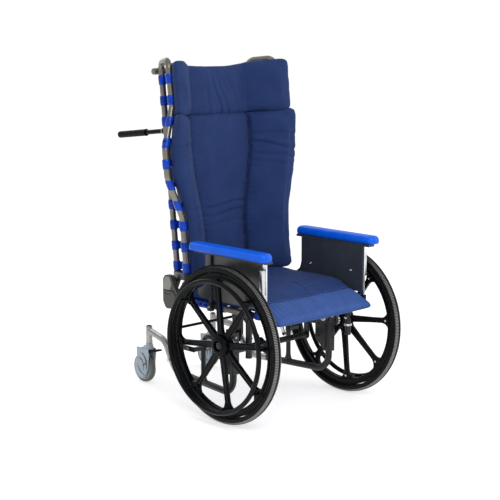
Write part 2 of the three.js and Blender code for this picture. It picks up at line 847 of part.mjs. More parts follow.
function casterWheel() {
  const half = casterWidth / 2;
  const body = turned([
    [0, -half + casterHubInset], [casterHubRadius, -half + casterHubInset], [casterHubRadius, -half],
    [casterRadius - half / 2, -half], [casterRadius, -half / 2], [casterRadius, half / 2],
    [casterRadius - half / 2, half], [casterHubRadius, half], [casterHubRadius, half - casterHubInset],
    [0, half - casterHubInset],
  ], casterFacets);
  return cut(body, [rod(at(-casterWidth, 0, 0), at(casterWidth, 0, 0), clear(casterPinRadius))]);
}

function casterPedal() {
  const pivot = -forkCrownFront - joinGap - pedalBarrelRadius;
  const height = (forkCrownBottomZ + forkCrownTopZ) / 2;
  const barrel = rod(at(-pedalWidth / 2, pivot, height), at(pedalWidth / 2, pivot, height),
    pedalBarrelRadius);
  const tread = sideways(outline([
    [pivot, height - pedalThickness / 2], [pivot, height + pedalThickness / 2],
    [pivot - pedalReach, height + pedalRise + pedalThickness / 2],
    [pivot - pedalReach, height + pedalRise - pedalThickness / 2],
  ]), -pedalWidth / 2, pedalWidth / 2);
  return joined([barrel, tread]);
}

// Wheel locks

function lockBracket() {
  const strutX = sideX(strutY);
  const stub = block(strutX, lockPlateX, strutY - lockStubSize / 2, strutY + lockStubSize / 2,
    lockPivotZ - lockStubSize / 2, lockPivotZ + lockStubSize / 2);
  const plate = block(lockPlateX, lockPlateX + lockPlateThickness, strutY - lockStubSize / 2,
    lockPivotY + lockPlateOverhang, lockPivotZ - lockPlateHeight / 2, lockPivotZ + lockPlateHeight / 2);
  const outer = lockPlateX + lockPlateThickness;
  const headX = outer + lockLeverThickness + 2 * joinGap;
  const pin = rod(at(lockPlateX, lockPivotY, lockPivotZ), at(headX, lockPivotY, lockPivotZ), lockPinRadius);
  const head = rod(at(headX, lockPivotY, lockPivotZ), at(headX + lockHeadThickness, lockPivotY, lockPivotZ),
    lockHeadRadius);
  const strut = rod(onSide(strutY, lowerRailZ), onSide(strutY, upperRailZ),
    clear(railTubeRadius, tubeSides), tubeSides);
  return cut(joined([stub, plate, pin, head]), [strut]);
}

function lockLever() {
  const inner = lockPlateX + lockPlateThickness + joinGap;
  const outer = inner + lockLeverThickness;
  const pivot = new THREE.Vector2(lockPivotY, lockPivotZ);
  const arms = [[lockShoeY, lockShoeZ], [lockHandleY, lockHandleZ]].map(([y, z]) =>
    sideways(capsule(pivot, new THREE.Vector2(y, z), lockLeverWidth / 2, filletSteps + 1), inner, outer));
  const shoe = rod(at(inner, lockShoeY, lockShoeZ), at(wheelX + lockShoeReach, lockShoeY, lockShoeZ),
    lockShoeRadius);
  const pad = block(inner - lockPadOverhang, outer + lockPadOverhang, lockHandleY - lockPadLength / 2,
    lockHandleY + lockPadLength / 2, lockHandleZ, lockHandleZ + lockPadThickness);
  const bore = rod(at(inner - overrun, lockPivotY, lockPivotZ), at(outer + overrun, lockPivotY, lockPivotZ),
    clear(lockPinRadius));
  return cut(joined([...arms, shoe, pad]), [bore]);
}

// Seat frame

function seatRail(grow) {
  return tube([at(seatTubeX, seatTubeRearY, seatTubeZ), at(seatTubeX, seatTubeFrontY, seatTubeZ),
    at(-seatTubeX, seatTubeFrontY, seatTubeZ), at(-seatTubeX, seatTubeRearY, seatTubeZ)],
  seatTubeRadius + grow, [seatBendRadius, seatBendRadius], [bendSteps, bendSteps]);
}

function seatFrame() {
  const cross = [seatMidTubeY, seatRearTubeY].map((y) =>
    rod(at(-seatTubeX, y, seatTubeZ), at(seatTubeX, y, seatTubeZ), seatTubeRadius, tubeSides));
  return joined([seatRail(0), ...cross,
    springEars(0, tiltSpringHeadY, tiltSpringHeadZ, seatRearTubeY, seatTubeZ),
    springEars(reclineSpringX, seatMidTubeY, reclineSpringFootZ, seatMidTubeY, seatTubeZ)]);
}

function tiltHanger() {
  const reach = seatTubeX - hangerOuterX;
  const top = seatTubeZ - Math.sqrt(seatTubeRadius ** 2 - reach ** 2) - joinGap;
  const plate = sideways(outline([
    [pivotY - hangerTopHalfWidth, top], [pivotY - hangerEyeRadius, pivotZ - hangerEyeRadius, hangerEyeRadius],
    [pivotY + hangerEyeRadius, pivotZ - hangerEyeRadius, hangerEyeRadius], [pivotY + hangerTopHalfWidth, top],
  ]), hangerInnerX, hangerOuterX);
  const bore = rod(at(hangerInnerX - overrun, pivotY, pivotZ), at(hangerOuterX + overrun, pivotY, pivotZ),
    clear(pivotBoltRadius, tubeSides), tubeSides);
  return cut(plate, [bore]);
}

function hingeCover() {
  const outer = coverInnerX + coverThickness;
  const shell = sideways(outline([
    [coverFrontY, coverNoseBottomZ], [coverRearY - coverThickness, coverBottomZ, coverCornerRadius],
    [coverRearY, coverNoseBottomZ], [coverRearY, coverTopZ, coverCornerRadius],
    [coverShoulderY, coverTopZ, coverCornerRadius], [coverFrontY, coverNoseTopZ],
  ]), coverInnerX, outer);
  const innerX = hingeArmX - joinGap;
  const pin = rod(at(outer, hingeY, hingeZ), at(innerX, hingeY, hingeZ), hingePinRadius, tubeSides);
  const head = rod(at(innerX, hingeY, hingeZ), at(innerX - hingeHeadThickness, hingeY, hingeZ),
    hingeHeadRadius, tubeSides);
  return joined([shell, pin, head]);
}

function legrestPost() {
  const post = rod(at(legrestPostX, legrestPostY, legrestPostBottomZ),
    at(legrestPostX, legrestPostY, legrestPostTopZ), legrestPostRadius, tubeSides);
  const ring = rod(at(legrestPostX, legrestPostY, legrestRingZ),
    at(legrestPostX, legrestPostY, legrestRingZ + legrestRingHeight), legrestRingRadius, tubeSides);
  const saddle = block(seatTubeX + joinGap, legrestPostX, legrestPostY - legrestPostRadius,
    legrestPostY + legrestPostRadius, seatTubeZ - legrestPostRadius, seatTubeZ + legrestPostRadius);
  return joined([post, ring, cut(saddle, [seatRail(2 * joinGap)])]);
}

function postBox(innerX, outerX, y, depth, grow, bottom, top) {
  return block(innerX - grow, outerX + grow, y - depth / 2 - grow, y + depth / 2 + grow, bottom, top);
}

function frontPostBox(grow, bottom, top) {
  return postBox(armPanelOuterX + joinGap, frontPostOuterX, frontPostY, frontPostDepth, grow, bottom, top);
}

function rearPostBox(grow, bottom, top) {
  return postBox(armPanelOuterX, armPanelOuterX + rearPostThickness, rearPostY, rearPostDepth, grow, bottom,
    top);
}

function armSocket(postOf, tie) {
  return cut(joined([postOf(socketWall, socketBottomZ, socketTopZ), tie]),
    [postOf(joinGap, postBottomZ - joinGap, socketTopZ + overrun)]);
}

function frontArmSocket() {
  return armSocket(frontPostBox, block(socketTieInnerX, armX, socketTieFrontY,
    seatTubeFrontY - seatTubeRadius - joinGap, socketTieBottomZ, socketTieBottomZ + socketTieHeight));
}

function rearArmSocket() {
  return armSocket(rearPostBox, postBox(seatTubeX + seatTubeRadius + joinGap, armX, rearPostY, rearPostDepth,
    0, socketTieBottomZ, socketTieBottomZ + socketTieHeight));
}

// Loops of vinyl strap round both side tubes, joined by one webbing underneath
function seatStraps() {
  const from = new THREE.Vector2(-seatTubeX, seatTubeZ);
  const to = new THREE.Vector2(seatTubeX, seatTubeZ);
  const turn = new THREE.Matrix4().makeBasis(
    new THREE.Vector3(1, 0, 0), new THREE.Vector3(0, 0, 1), new THREE.Vector3(0, -1, 0));
  const band = (radius, y, width) => solid(
    new THREE.ExtrudeGeometry(capsule(from, to, radius, bendSteps), { depth: width, bevelEnabled: false })
      .applyMatrix4(turn).translate(0, y + width / 2, 0));
  const inner = clear(seatTubeRadius + strapSlack - joinGap, 2 * bendSteps);
  const loops = seatStrapYs.map((y) => cut(band(inner + strapThickness, y, seatStrapWidth),
    [band(inner, y, seatStrapWidth + 2 * overrun)]));
  const first = seatStrapYs[0] - seatStrapWidth / 2;
  const last = seatStrapYs[seatStrapYs.length - 1] + seatStrapWidth / 2;
  const webbing = block(-webbingWidth / 2, webbingWidth / 2, first, last,
    seatTubeZ - inner - strapThickness, seatTubeZ - inner);
  return joined([...loops, webbing]);
}

// Back, with its origin on the hinge

function wingTubeX(height) {
  const stops = [
    [clampBottom, wingTubeFootX], [wingWaist, wingTubeWaistX], [wingShoulderBottom, wingTubeShoulderX],
    [wingShoulderTop, wingTubeShoulderX], [wingNeck, wingTubeTopX], [ladderTop, wingTubeTopX],
  ];
  const next = stops.findIndex(([z]) => z >= height);
  if (next <= 0) return next ? wingTubeTopX : wingTubeFootX;
  const [z0, x0] = stops[next - 1];
  const [z1, x1] = stops[next];
  return THREE.MathUtils.lerp(x0, x1, (height - z0) / (z1 - z0));
}

function ladderTube() {
  const foot = clampBottom + clampFloor + joinGap;
  return tube([
    at(rearTubeX, rearTubeY, foot), at(rearTubeX, rearTubeY, ladderTop),
    at(wingTubeTopX, wingTubeY, ladderTop), at(wingTubeTopX, wingTubeY, wingNeck),
    at(wingTubeShoulderX, wingTubeY, wingShoulderTop), at(wingTubeShoulderX, wingTubeY, wingShoulderBottom),
    at(wingTubeWaistX, wingTubeY, wingWaist), at(wingTubeFootX, wingTubeY, foot),
  ], backTubeRadius,
  [ladderArchRadius, ladderArchRadius, wingBendRadius, wingBendRadius, wingBendRadius, wingBendRadius],
  [archSteps, archSteps, smallBendSteps, smallBendSteps, smallBendSteps, smallBendSteps]);
}

function backLadder() {
  const barEnd = gripEnd - gripEndWall - joinGap;
  const bar = rod(at(rearTubeX, rearTubeY, pushBarHeight), at(rearTubeX, barEnd, pushBarHeight),
    pushBarRadius);
  return joined([ladderTube(), bar]);
}

function pushGrip() {
  const profile = [new THREE.Vector2(0, gripEnd), new THREE.Vector2(gripRadius, gripEnd)];
  const pitch = (gripEnd - gripStart) / gripRibCount;
  for (let i = gripRibCount - 1; i > 0; i -= 1) {
    const y = gripStart + pitch * i;
    profile.push(new THREE.Vector2(gripRadius, y + pitch / 4),
      new THREE.Vector2(gripRadius - gripRibDepth, y),
      new THREE.Vector2(gripRadius, y - pitch / 4));
  }
  const bore = clear(pushBarRadius, rodSides);
  profile.push(new THREE.Vector2(gripRadius, gripStart), new THREE.Vector2(bore, gripStart),
    new THREE.Vector2(bore, gripEnd - gripEndWall), new THREE.Vector2(0, gripEnd - gripEndWall));
  return solid(new THREE.LatheGeometry(profile, rodSides).translate(rearTubeX, 0, pushBarHeight));
}

function footClamp(grow) {
  const rear = new THREE.Vector2(rearTubeX, rearTubeY);
  const front = new THREE.Vector2(wingTubeFootX, wingTubeY);
  return standing(capsule(rear, front, clampRadius + grow, bendSteps), clampBottom - grow, clampTop + grow);
}

function hingeArm() {
  const rear = new THREE.Vector2(rearTubeX, rearTubeY);
  const front = new THREE.Vector2(wingTubeFootX, wingTubeY);
  const plate = sideways(outline([
    [-hingeEyeRadius, -hingeEyeRadius, hingeEyeRadius], [hingeEyeRadius, -hingeEyeRadius, hingeEyeRadius],
    [hingeEyeRadius, hingeEyeRadius], [rearTubeY + clampRadius, clampBottom + clampFloor],
    [hingeArmFrontY, clampBottom + clampFloor],
  ]), hingeArmX, hingeArmX + hingeArmThickness);
  const pinBore = rod(at(hingeArmX - overrun, 0, 0), at(hingeArmX + hingeArmThickness + overrun, 0, 0),
    clear(hingePinRadius, tubeSides), tubeSides);
  const sockets = [rear, front].map((spot) => rod(at(spot.x, spot.y, clampBottom + clampFloor),
    at(spot.x, spot.y, clampTop + overrun), clear(backTubeRadius, tubeSides), tubeSides));
  return cut(joined([footClamp(0), plate]), [pinBore, ...sockets]);
}

function topCrossTube() {
  const y = rearTubeY + backTubeRadius + topTubeRadius + joinGap;
  return rod(at(-topTubeHalfLength, y, topTubeHeight), at(topTubeHalfLength, y, topTubeHeight),
    topTubeRadius, tubeSides);
}

function lowerCrossTube() {
  const whole = rod(at(-rearTubeX, rearTubeY, lowerTubeHeight), at(rearTubeX, rearTubeY, lowerTubeHeight),
    backTubeRadius, tubeSides);
  const clamp = footClamp(joinGap);
  const bar = cut(whole, [clamp, mirrored(clamp)]);
  const crankX = reclineSpringX - springEyeWidth / 2 - springEarGap - crankThickness;
  const crank = sideways(capsule(new THREE.Vector2(rearTubeY, lowerTubeHeight),
    new THREE.Vector2(crankPinY, crankPinZ), springEarRadius, filletSteps + 1),
  crankX, crankX + crankThickness);
  const pin = rod(at(crankX, crankPinY, crankPinZ),
    at(reclineSpringX + springEyeWidth / 2 + springEarGap, crankPinY, crankPinZ), springPinRadius);
  return joined([bar, crank, pin]);
}

// A strap seen from above: a band on the cushion's side and a sleeve round each of the four tubes
function strapSection(wing, slope) {
  const rear = new THREE.Vector2(rearTubeX, rearTubeY);
  const front = new THREE.Vector2(wing, wingTubeY);
  const along = front.clone().sub(rear).normalize();
  const inward = new THREE.Vector2(along.y, -along.x);
  const turn = new THREE.Vector2(0, -1).angleTo(inward);
  const mirror = (point) => new THREE.Vector2(-point.x, point.y);
  const edge = (reach) => {
    const corner = rear.clone().addScaledVector(inward, reach)
      .addScaledVector(along, reach * Math.tan(turn / 2));
    const end = front.clone().addScaledVector(inward, reach);
    return [mirror(end), mirror(corner), corner, end];
  };
  const band = [...edge(strapOuter), ...edge(strapInner).reverse()].map((point) => point.toArray());
  const hexagon = (radius, angle) => wasm.CrossSection
    .circle(radius / Math.cos(Math.PI / strapSides), strapSides).rotate(THREE.MathUtils.radToDeg(angle));
  const stretch = [Math.hypot(1, slope), 1];
  const rings = (radius) => [
    hexagon(radius, 0).translate(rear.toArray()),
    hexagon(radius, 0).translate(mirror(rear).toArray()),
    hexagon(radius, -turn).scale(stretch).translate(front.toArray()),
    hexagon(radius, turn).scale(stretch).translate(mirror(front).toArray()),
  ];
  const whole = rings(strapOuter).reduce((sum, next) => sum.add(next), new wasm.CrossSection([band]));
  return rings(strapInner).reduce((rest, next) => rest.subtract(next), whole);
}

// Moves a strap's upper and lower edges sideways so that its ends lean with the wing tubes
function leanWithWing(body, level) {
  return body.warp((point) => {
    const share = THREE.MathUtils.clamp((rearTubeY - point[1]) / (rearTubeY - wingTubeY), 0, 1);
    point[0] += Math.sign(point[0]) * share * (wingTubeX(point[2]) - wingTubeX(level));
  });
}

// Straps from wing tube to wing tube, joined by one webbing
function backStraps() {
  const levels = Array.from({ length: strapLevels }, (_, level) => strapLevelFirst + strapPitch * level);
  const half = backStrapHeight / 2;
  const straps = levels.map((height) => {
    const slope = (wingTubeX(height + half) - wingTubeX(height - half)) / backStrapHeight;
    const level = strapSection(wingTubeX(height), slope).extrude(backStrapHeight);
    return leanWithWing(level.translate(0, 0, height - half), height);
  });
  const webbing = block(-webbingWidth / 2, webbingWidth / 2, rearTubeY - strapOuter, rearTubeY - strapInner,
    levels[0] - half, levels[strapLevels - 1] + half);
  return joined([...straps, webbing]);
}

// Gas springs, along +X from their foot pin

function springBody(length, boreStart) {
  const eye = rod(at(0, -springEyeWidth / 2, 0), at(0, springEyeWidth / 2, 0), springEyeRadius, tubeSides);
  const barrel = rod(at(0, 0, 0), at(length, 0, 0), springBodyRadius, tubeSides);
  const pinBore = rod(at(0, -springEyeWidth, 0), at(0, springEyeWidth, 0), clear(springPinRadius));
  const flat = springEyeRadius + overrun;
  const cheeks = [-1, 1].map((side) => block(-flat, flat,
    Math.min(side * springEyeWidth / 2, side * 2 * flat),
    Math.max(side * springEyeWidth / 2, side * 2 * flat), -flat, flat));
  const rodBore = rod(at(boreStart, 0, 0), at(length + overrun, 0, 0), clear(springRodRadius));
  return cut(joined([eye, barrel]), [pinBore, ...cheeks, rodBore]);
}

function springRod(start, length) {
  const shaft = rod(at(start, 0, 0), at(length, 0, 0), springRodRadius);
  const eye = rod(at(length, -springEyeWidth / 2, 0), at(length, springEyeWidth / 2, 0), openEyeRadius,
    tubeSides);
  const bore = rod(at(length, -springEyeWidth, 0), at(length, springEyeWidth, 0), openEyeBore, tubeSides);
  return cut(joined([shaft, eye]), [bore]);
}

// A group at the foot pin whose +X points at the head pin
function springGroup(x, foot, head) {
  const group = new THREE.Group();
  group.position.set(x, foot.x, foot.y);
  const along = new THREE.Vector3(0, head.x - foot.x, head.y - foot.y).normalize();
  const pinLine = new THREE.Vector3(1, 0, 0);
  group.quaternion.setFromRotationMatrix(new THREE.Matrix4().makeBasis(
    along, pinLine, new THREE.Vector3().crossVectors(along, pinLine)));
  return group;
}

// Arms

function armPanel() {
  const sheet = sideways(outline([
    [armPanelFrontY, armPanelBottomZ, armCornerRadius],
    [armFlareY - armCornerRadius, armPanelBottomZ, armCornerRadius],
    [armFlareY, armFlareTipZ],
    [armFlareY, armFlareZ],
    [armPanelRearY, armFlareZ + armCornerRadius, armFlareRadius],
    [armPanelRearY, armPanelTopZ],
    [armPanelFrontY, armPanelTopZ],
  ]), armPanelOuterX - armPanelThickness, armPanelOuterX);
  const cap = block(armCapInnerX, armCapOuterX, armCapFrontY, armCapRearY,
    armPanelTopZ, armPanelTopZ + armCapHeight);
  return joined([sheet, cap, rearPostBox(0, postBottomZ, armPanelTopZ)]);
}

// A flat bar with a thicker grip block on its outer side
function armPost() {
  const grip = postBox(armPanelOuterX + joinGap, frontPostOuterX + gripBlockThickness, gripBlockY,
    gripBlockDepth, 0, gripBlockBottomZ, gripBlockTopZ);
  return joined([frontPostBox(0, postBottomZ, armPanelTopZ - joinGap), grip]);
}

function armPad() {
  const half = padWidth / 2 - padBevel;
  const radius = padCornerRadius - padBevel;
  const shape = outline([
    [padX - half, padFrontY + padBevel, radius], [padX + half, padFrontY + padBevel, radius],
    [padX + half, padRearY - padBevel, radius], [padX - half, padRearY - padBevel, radius],
  ]);
  return solid(new THREE.ExtrudeGeometry(shape, {
    depth: padHeight - 2 * padBevel,
    bevelThickness: padBevel,
    bevelSize: padBevel,
    bevelSegments: padBevelSteps,
  }).translate(0, 0, armPanelTopZ + armCapHeight + joinGap + padBevel));
}

// Padded forms: a face sheet and a rear sheet on one grid, closed along their edges

function paddedForm(face, rear, across, along) {
  const points = [];
  const faces = [];
  const columns = across.length;
  const rows = along.length;
  for (const sheet of [face, rear]) {
    for (const v of along) {
      for (const u of across) {
        points.push(...sheet(u, v).toArray());
      }
    }
  }
  const spot = (sheet, row, column) => sheet * rows * columns + row * columns + column;
  const middle = (columns - 1) / 2;
  const quad = (a, b, c, d, column = 0) => {
    const corners = column < middle ? [a, b, c, a, c, d] : [b, c, d, b, d, a];
    faces.push(...corners);
  };
  for (let row = 0; row < rows - 1; row += 1) {
    for (let column = 0; column < columns - 1; column += 1) {
      quad(spot(0, row, column), spot(0, row, column + 1), spot(0, row + 1, column + 1),
        spot(0, row + 1, column), column);
      quad(spot(1, row, column), spot(1, row + 1, column), spot(1, row + 1, column + 1),
        spot(1, row, column + 1), column);
    }
    quad(spot(0, row, 0), spot(0, row + 1, 0), spot(1, row + 1, 0), spot(1, row, 0));
    quad(spot(0, row + 1, columns - 1), spot(0, row, columns - 1), spot(1, row, columns - 1),
      spot(1, row + 1, columns - 1));
  }
  for (let column = 0; column < columns - 1; column += 1) {
    quad(spot(0, 0, column + 1), spot(0, 0, column), spot(1, 0, column), spot(1, 0, column + 1));
    quad(spot(0, rows - 1, column), spot(0, rows - 1, column + 1), spot(1, rows - 1, column + 1),
      spot(1, rows - 1, column));
  }
  const geometry = new THREE.BufferGeometry();
  geometry.setAttribute('position', new THREE.Float32BufferAttribute(points, 3));
  geometry.setIndex(faces);
  return solid(geometry);
}

function bothSides(shares) {
  const positive = [...shares].sort((a, b) => a - b).filter((share) => share > 0);
  return [...positive.map((share) => -share).reverse(), 0, ...positive];
}

// A groove that fades out over the spread on both sides of a seam
function groove(distance, depth, spread) {
  return depth * Math.exp(-((distance / spread) ** 2));
}

function seatCushion() {
  const top = new THREE.SplineCurve([
    [seatCushionRearY, seatTopZ], [(seatCushionRearY + seatBendY) / 2, seatTopZ], [seatBendY, seatTopZ],
    [seatCreaseY, seatCreaseZ], [seatNoseY, seatNoseTopZ],
  ].map(([y, z]) => new THREE.Vector2(y, z)));
  const undersideZ = (y) => (y > seatUndersideBendY ? seatBottomZ : THREE.MathUtils.mapLinear(
    y, seatUndersideBendY, seatNoseY, seatBottomZ, seatNoseBottomZ));
  const face = (u, v) => {
    const spot = top.getPointAt(v);
    const x = u * seatHalfWidth;
    const edge = THREE.MathUtils.clamp(1 - (seatHalfWidth - Math.abs(x)) / seatEdgeInset, 0, 1);
    const onSeat = THREE.MathUtils.smoothstep(spot.x, seatCreaseY, seatBendY);
    const seams = groove(spot.x - seatCreaseY, seatSeamDepth, seatSeamSpread)
      + onSeat * groove(seatHalfWidth - Math.abs(x) - seatBorderInset, seatSeamDepth, seatSeamSpread)
      + onSeat * groove(x, seatSeamDepth / 2, seatSeamSpread);
    const room = spot.y - undersideZ(spot.x);
    const drop = Math.min(seatEdgeDrop * edge ** 2 + seams, room / 2);
    return at(x, spot.x, spot.y - drop);
  };
  const rear = (u, v) => {
    const spot = top.getPointAt(v);
    return at(u * seatHalfWidth, spot.x, undersideZ(spot.x));
  };
  return paddedForm(face, rear, bothSides(seatAcrossShares), seatAlongShares);
}

// Rises from 0 at the lower and upper edge to 1 at this reach from them, round as a quarter circle
function edgeRise(height, bottom, top, reach) {
  const room = THREE.MathUtils.clamp(Math.min(height - bottom, top - height) / reach, 0, 1);
  return Math.sqrt(1 - (1 - room) ** 2);
}

// A wing's tip, drawn back toward the seam where its corners round off
function roundedTip(seam, tip, height, bottom, top) {
  const pull = wingCornerRadius * (1 - edgeRise(height, bottom, top, wingCornerRadius));
  return tip.clone().add(seam.clone().sub(tip).setLength(pull));
}

// One height of a winged cushion, where u runs from -2 at one wing's tip over -1 and 1 at its bends to 2
function wingSection(seam, tip, tubeX, space, crown, inset) {
  const wing = tip.clone().sub(seam);
  const normal = new THREE.Vector2(wing.y, -wing.x).normalize();
  const rearTube = new THREE.Vector2(rearTubeX, rearTubeY);
  const wingTube = new THREE.Vector2(tubeX, wingTubeY);
  const frame = wingTube.clone().sub(rearTube).normalize();
  const inward = new THREE.Vector2(frame.y, -frame.x);
  const byWingTube = wingTube.clone().addScaledVector(inward, space);
  const byRearTube = rearTube.clone().addScaledVector(inward, space);
  const shift = (cushionBackY - byRearTube.y) / frame.y;
  const corner = byRearTube.addScaledVector(frame, shift);
  const tipBack = tip.clone().addScaledVector(normal, -wingThickness);
  const seamBack = new THREE.Vector2(seam.x, cushionBackY);
  const stops = [seamBack, corner, byWingTube, tipBack];
  const face = (u) => {
    const share = Math.abs(u);
    if (share <= 1) {
      return new THREE.Vector2(share * seam.x, seam.y + inset * share ** 6 - crown * (1 - share ** 4));
    }
    const t = share - 1;
    const bulge = wingCrown * Math.sin(Math.PI * t) ** crownPowerShare
      - inset * (1 - Math.min(t / seamSpreadShare, 1));
    return seam.clone().addScaledVector(wing, t).addScaledVector(normal, Math.max(bulge, -inset));
  };
  const rear = (u) => {
    const share = Math.abs(u);
    if (share <= 1) return new THREE.Vector2(share * seam.x, cushionBackY);
    const t = (share - 1) * (stops.length - 1);
    const step = Math.min(Math.floor(t), stops.length - 2);
    return stops[step].clone().lerp(stops[step + 1], t - step);
  };
  return { face, rear };
}

function wingedCushion(sectionAt, bottom, top, along, dip) {
  const place = (sheet) => (u, v) => {
    const height = THREE.MathUtils.lerp(bottom, top, v);
    const section = sectionAt(height);
    const rear = section.rear(u);
    const swell = THREE.MathUtils.lerp(cushionEdgeShare, 1, edgeRise(height, bottom, top, cushionEdge));
    const point = sheet === 'rear' ? rear : rear.clone().lerp(section.face(u), swell);
    const lowered = dip * v * Math.max(0, 1 - u ** 4);
    return at(Math.sign(u) * point.x, point.y, height - lowered);
  };
  return paddedForm(place('face'), place('rear'), bothSides(acrossShares), along);
}

function backCushion() {
  const curve = (stops) => {
    const line = new THREE.SplineCurve(stops.map(([height, value]) => new THREE.Vector2(height, value)));
    return (height) => line.getPoint(THREE.MathUtils.clamp(
      (height - backCushionBottom) / (backCushionTop - backCushionBottom), 0, 1)).y;
  };
  const tipX = curve([[0, backTipBottomX], [1, backTipWaistX], [2, backTipWaistX],
    [3, (backTipShoulderX + backTipWaistX) / 2 + wingCrown], [4, backTipShoulderX], [5, backTipShoulderX],
    [6, backTipTopX]]);
  const tipY = curve([[0, backTipBottomY], [1, backTipMidY], [2, backTipTopY]]);
  const seamX = curve([[0, backSeamBottomX], [1, backSeamBottomX], [2, backSeamTopX], [3, backSeamTopX]]);
  const seamY = curve([[0, backSeamBottomY], [1, (backSeamBottomY + backSeamTopY) / 2], [2, backSeamTopY]]);
  const sectionAt = (height) => {
    const seam = new THREE.Vector2(seamX(height), seamY(height));
    const tip = roundedTip(seam, new THREE.Vector2(tipX(height), tipY(height)), height,
      backCushionBottom, backCushionTop);
    return wingSection(seam, tip, wingTubeX(height), backCushionTubeSpace, centreCrown, seamInset);
  };
  return wingedCushion(sectionAt, backCushionBottom, backCushionTop, backAlongShares, 0);
}

function headrest() {
  const seam = new THREE.Vector2(headrestBendX, headrestBendY);
  const tip = new THREE.Vector2(headrestTipX, headrestTipY);
  const sectionAt = (height) => wingSection(seam, roundedTip(seam, tip, height, headrestBottom, headrestTop),
    wingTubeTopX, headrestTubeSpace, centreCrown, 0);
  return wingedCushion(sectionAt, headrestBottom, headrestTop, headAlongShares, headrestDip);
}

// Assembly

function driveWheels(chair) {
  for (const [side, sign] of [['left', 1], ['right', -1]]) {
    const group = new THREE.Group();
    group.position.set(sign * wheelX, 0, axleZ);
    const facing = (body) => (sign > 0 ? body : mirrored(body));
    group.add(piece(`tyre_${side}`, facing(tyre()), tyreRubber()));
    group.add(piece(`drive_wheel_${side}`, facing(wheelBody()), blackPlastic()));
    group.add(piece(`handrim_${side}`, facing(handrim()), greyRim()));
    chair.add(group);
  }
}

function casters(chair) {
  for (const [side, sign] of [['left', 1], ['right', -1]]) {
    const swivel = new THREE.Group();
    swivel.position.set(sign * sideX(casterStemY), casterStemY, 0);
    swivel.add(piece(`caster_fork_${side}`, casterFork(), casterGrey()));
    swivel.add(piece(`caster_pedal_${side}`, casterPedal(), blackPlastic()));
    const wheel = piece(`caster_wheel_${side}`, casterWheel(), tyreRubber());
    wheel.position.set(0, casterTrail, casterAxleZ);
    swivel.add(wheel);
    chair.add(swivel);
  }
}

function base(chair) {
  pair(chair, 'base_side', baseSide(), charcoalPaint);
  pair(chair, 'upright', upright(), charcoalPaint);
  pair(chair, 'axle', axle(), brightSteel);
  pair(chair, 'caster_arm', casterArm(), taupePaint);
  pair(chair, 'lock_bracket', lockBracket(), charcoalPaint);
  pair(chair, 'lock_lever', lockLever(), blackPlastic);
  chair.add(piece('base_cross_tube', baseCrossTube(), charcoalPaint()));
  chair.add(piece('rear_cross_bar', rearCrossBar(), blackPlastic()));
}

function seat(chair) {
  chair.add(piece('seat_frame', seatFrame(), taupePaint()));
  chair.add(piece('seat_straps', seatStraps(), strapVinyl()));
  chair.add(piece('seat_cushion', seatCushion(), navyCloth()));
  pair(chair, 'tilt_hanger', tiltHanger(), charcoalPaint);
  pair(chair, 'hinge_cover', hingeCover(), taupePaint);
  pair(chair, 'legrest_post', legrestPost(), charcoalPaint);
  pair(chair, 'arm_socket_front', frontArmSocket(), charcoalPaint);
  pair(chair, 'arm_socket_rear', rearArmSocket(), charcoalPaint);
  pair(chair, 'arm_panel', armPanel(), panelCharcoal);
  pair(chair, 'arm_post', armPost(), aluminium);
  pair(chair, 'arm_pad', armPad(), padBlue);
}

function back(chair) {
  const group = new THREE.Group();
  group.position.set(0, hingeY, hingeZ);
  group.rotation.x = -recline;
  pair(group, 'back_ladder', backLadder(), taupePaint);
  pair(group, 'push_grip', pushGrip(), blackPlastic);
  pair(group, 'hinge_arm', hingeArm(), charcoalPaint);
  group.add(piece('top_cross_tube', topCrossTube(), taupePaint()));
  group.add(piece('lower_cross_tube', lowerCrossTube(), taupePaint()));
  group.add(piece('back_straps', backStraps(), strapVinyl()));
  group.add(piece('back_cushion', backCushion(), navyCloth()));
  group.add(piece('headrest', headrest(), navyCloth()));
  chair.add(group);
}

function gasSprings(chair) {
  const tiltFoot = new THREE.Vector2(tiltSpringFootY, tiltSpringFootZ);
  const tiltHead = new THREE.Vector2(tiltSpringHeadY, tiltSpringHeadZ);
  const reclineFoot = new THREE.Vector2(seatMidTubeY, reclineSpringFootZ);
  const reclineHead = new THREE.Vector2(crankPinY, crankPinZ)
    .rotateAround(new THREE.Vector2(), -recline).add(new THREE.Vector2(hingeY, hingeZ));
  const tilt = springGroup(0, tiltFoot, tiltHead);
  tilt.add(piece('tilt_spring_body', springBody(tiltSpringBodyLength, tiltSpringBoreStart), charcoalPaint()));
  tilt.add(piece('tilt_spring_rod', springRod(tiltSpringRodStart, tiltFoot.distanceTo(tiltHead)),
    brightSteel()));
  const lean = springGroup(reclineSpringX, reclineFoot, reclineHead);
  lean.add(piece('recline_spring_body', springBody(reclineSpringBodyLength, reclineSpringBoreStart),
    charcoalPaint()));
  lean.add(piece('recline_spring_rod', springRod(reclineSpringRodStart, reclineFoot.distanceTo(reclineHead)),
    brightSteel()));
  chair.add(tilt, lean);
}

// The finished chair stands on Z = 0 with the middle of its outline over the origin
const chair = new THREE.Group();
driveWheels(chair);
casters(chair);
base(chair);
seat(chair);
back(chair);
gasSprings(chair);
chair.updateMatrixWorld(true);
const reach = new THREE.Box3().setFromObject(chair, true);
chair.position.set(-(reach.min.x + reach.max.x) / 2, -(reach.min.y + reach.max.y) / 2, -reach.min.z);

export default chair;
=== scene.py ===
import json
from math import atan2, copysign, cos, pi, radians, sin, sqrt, tan

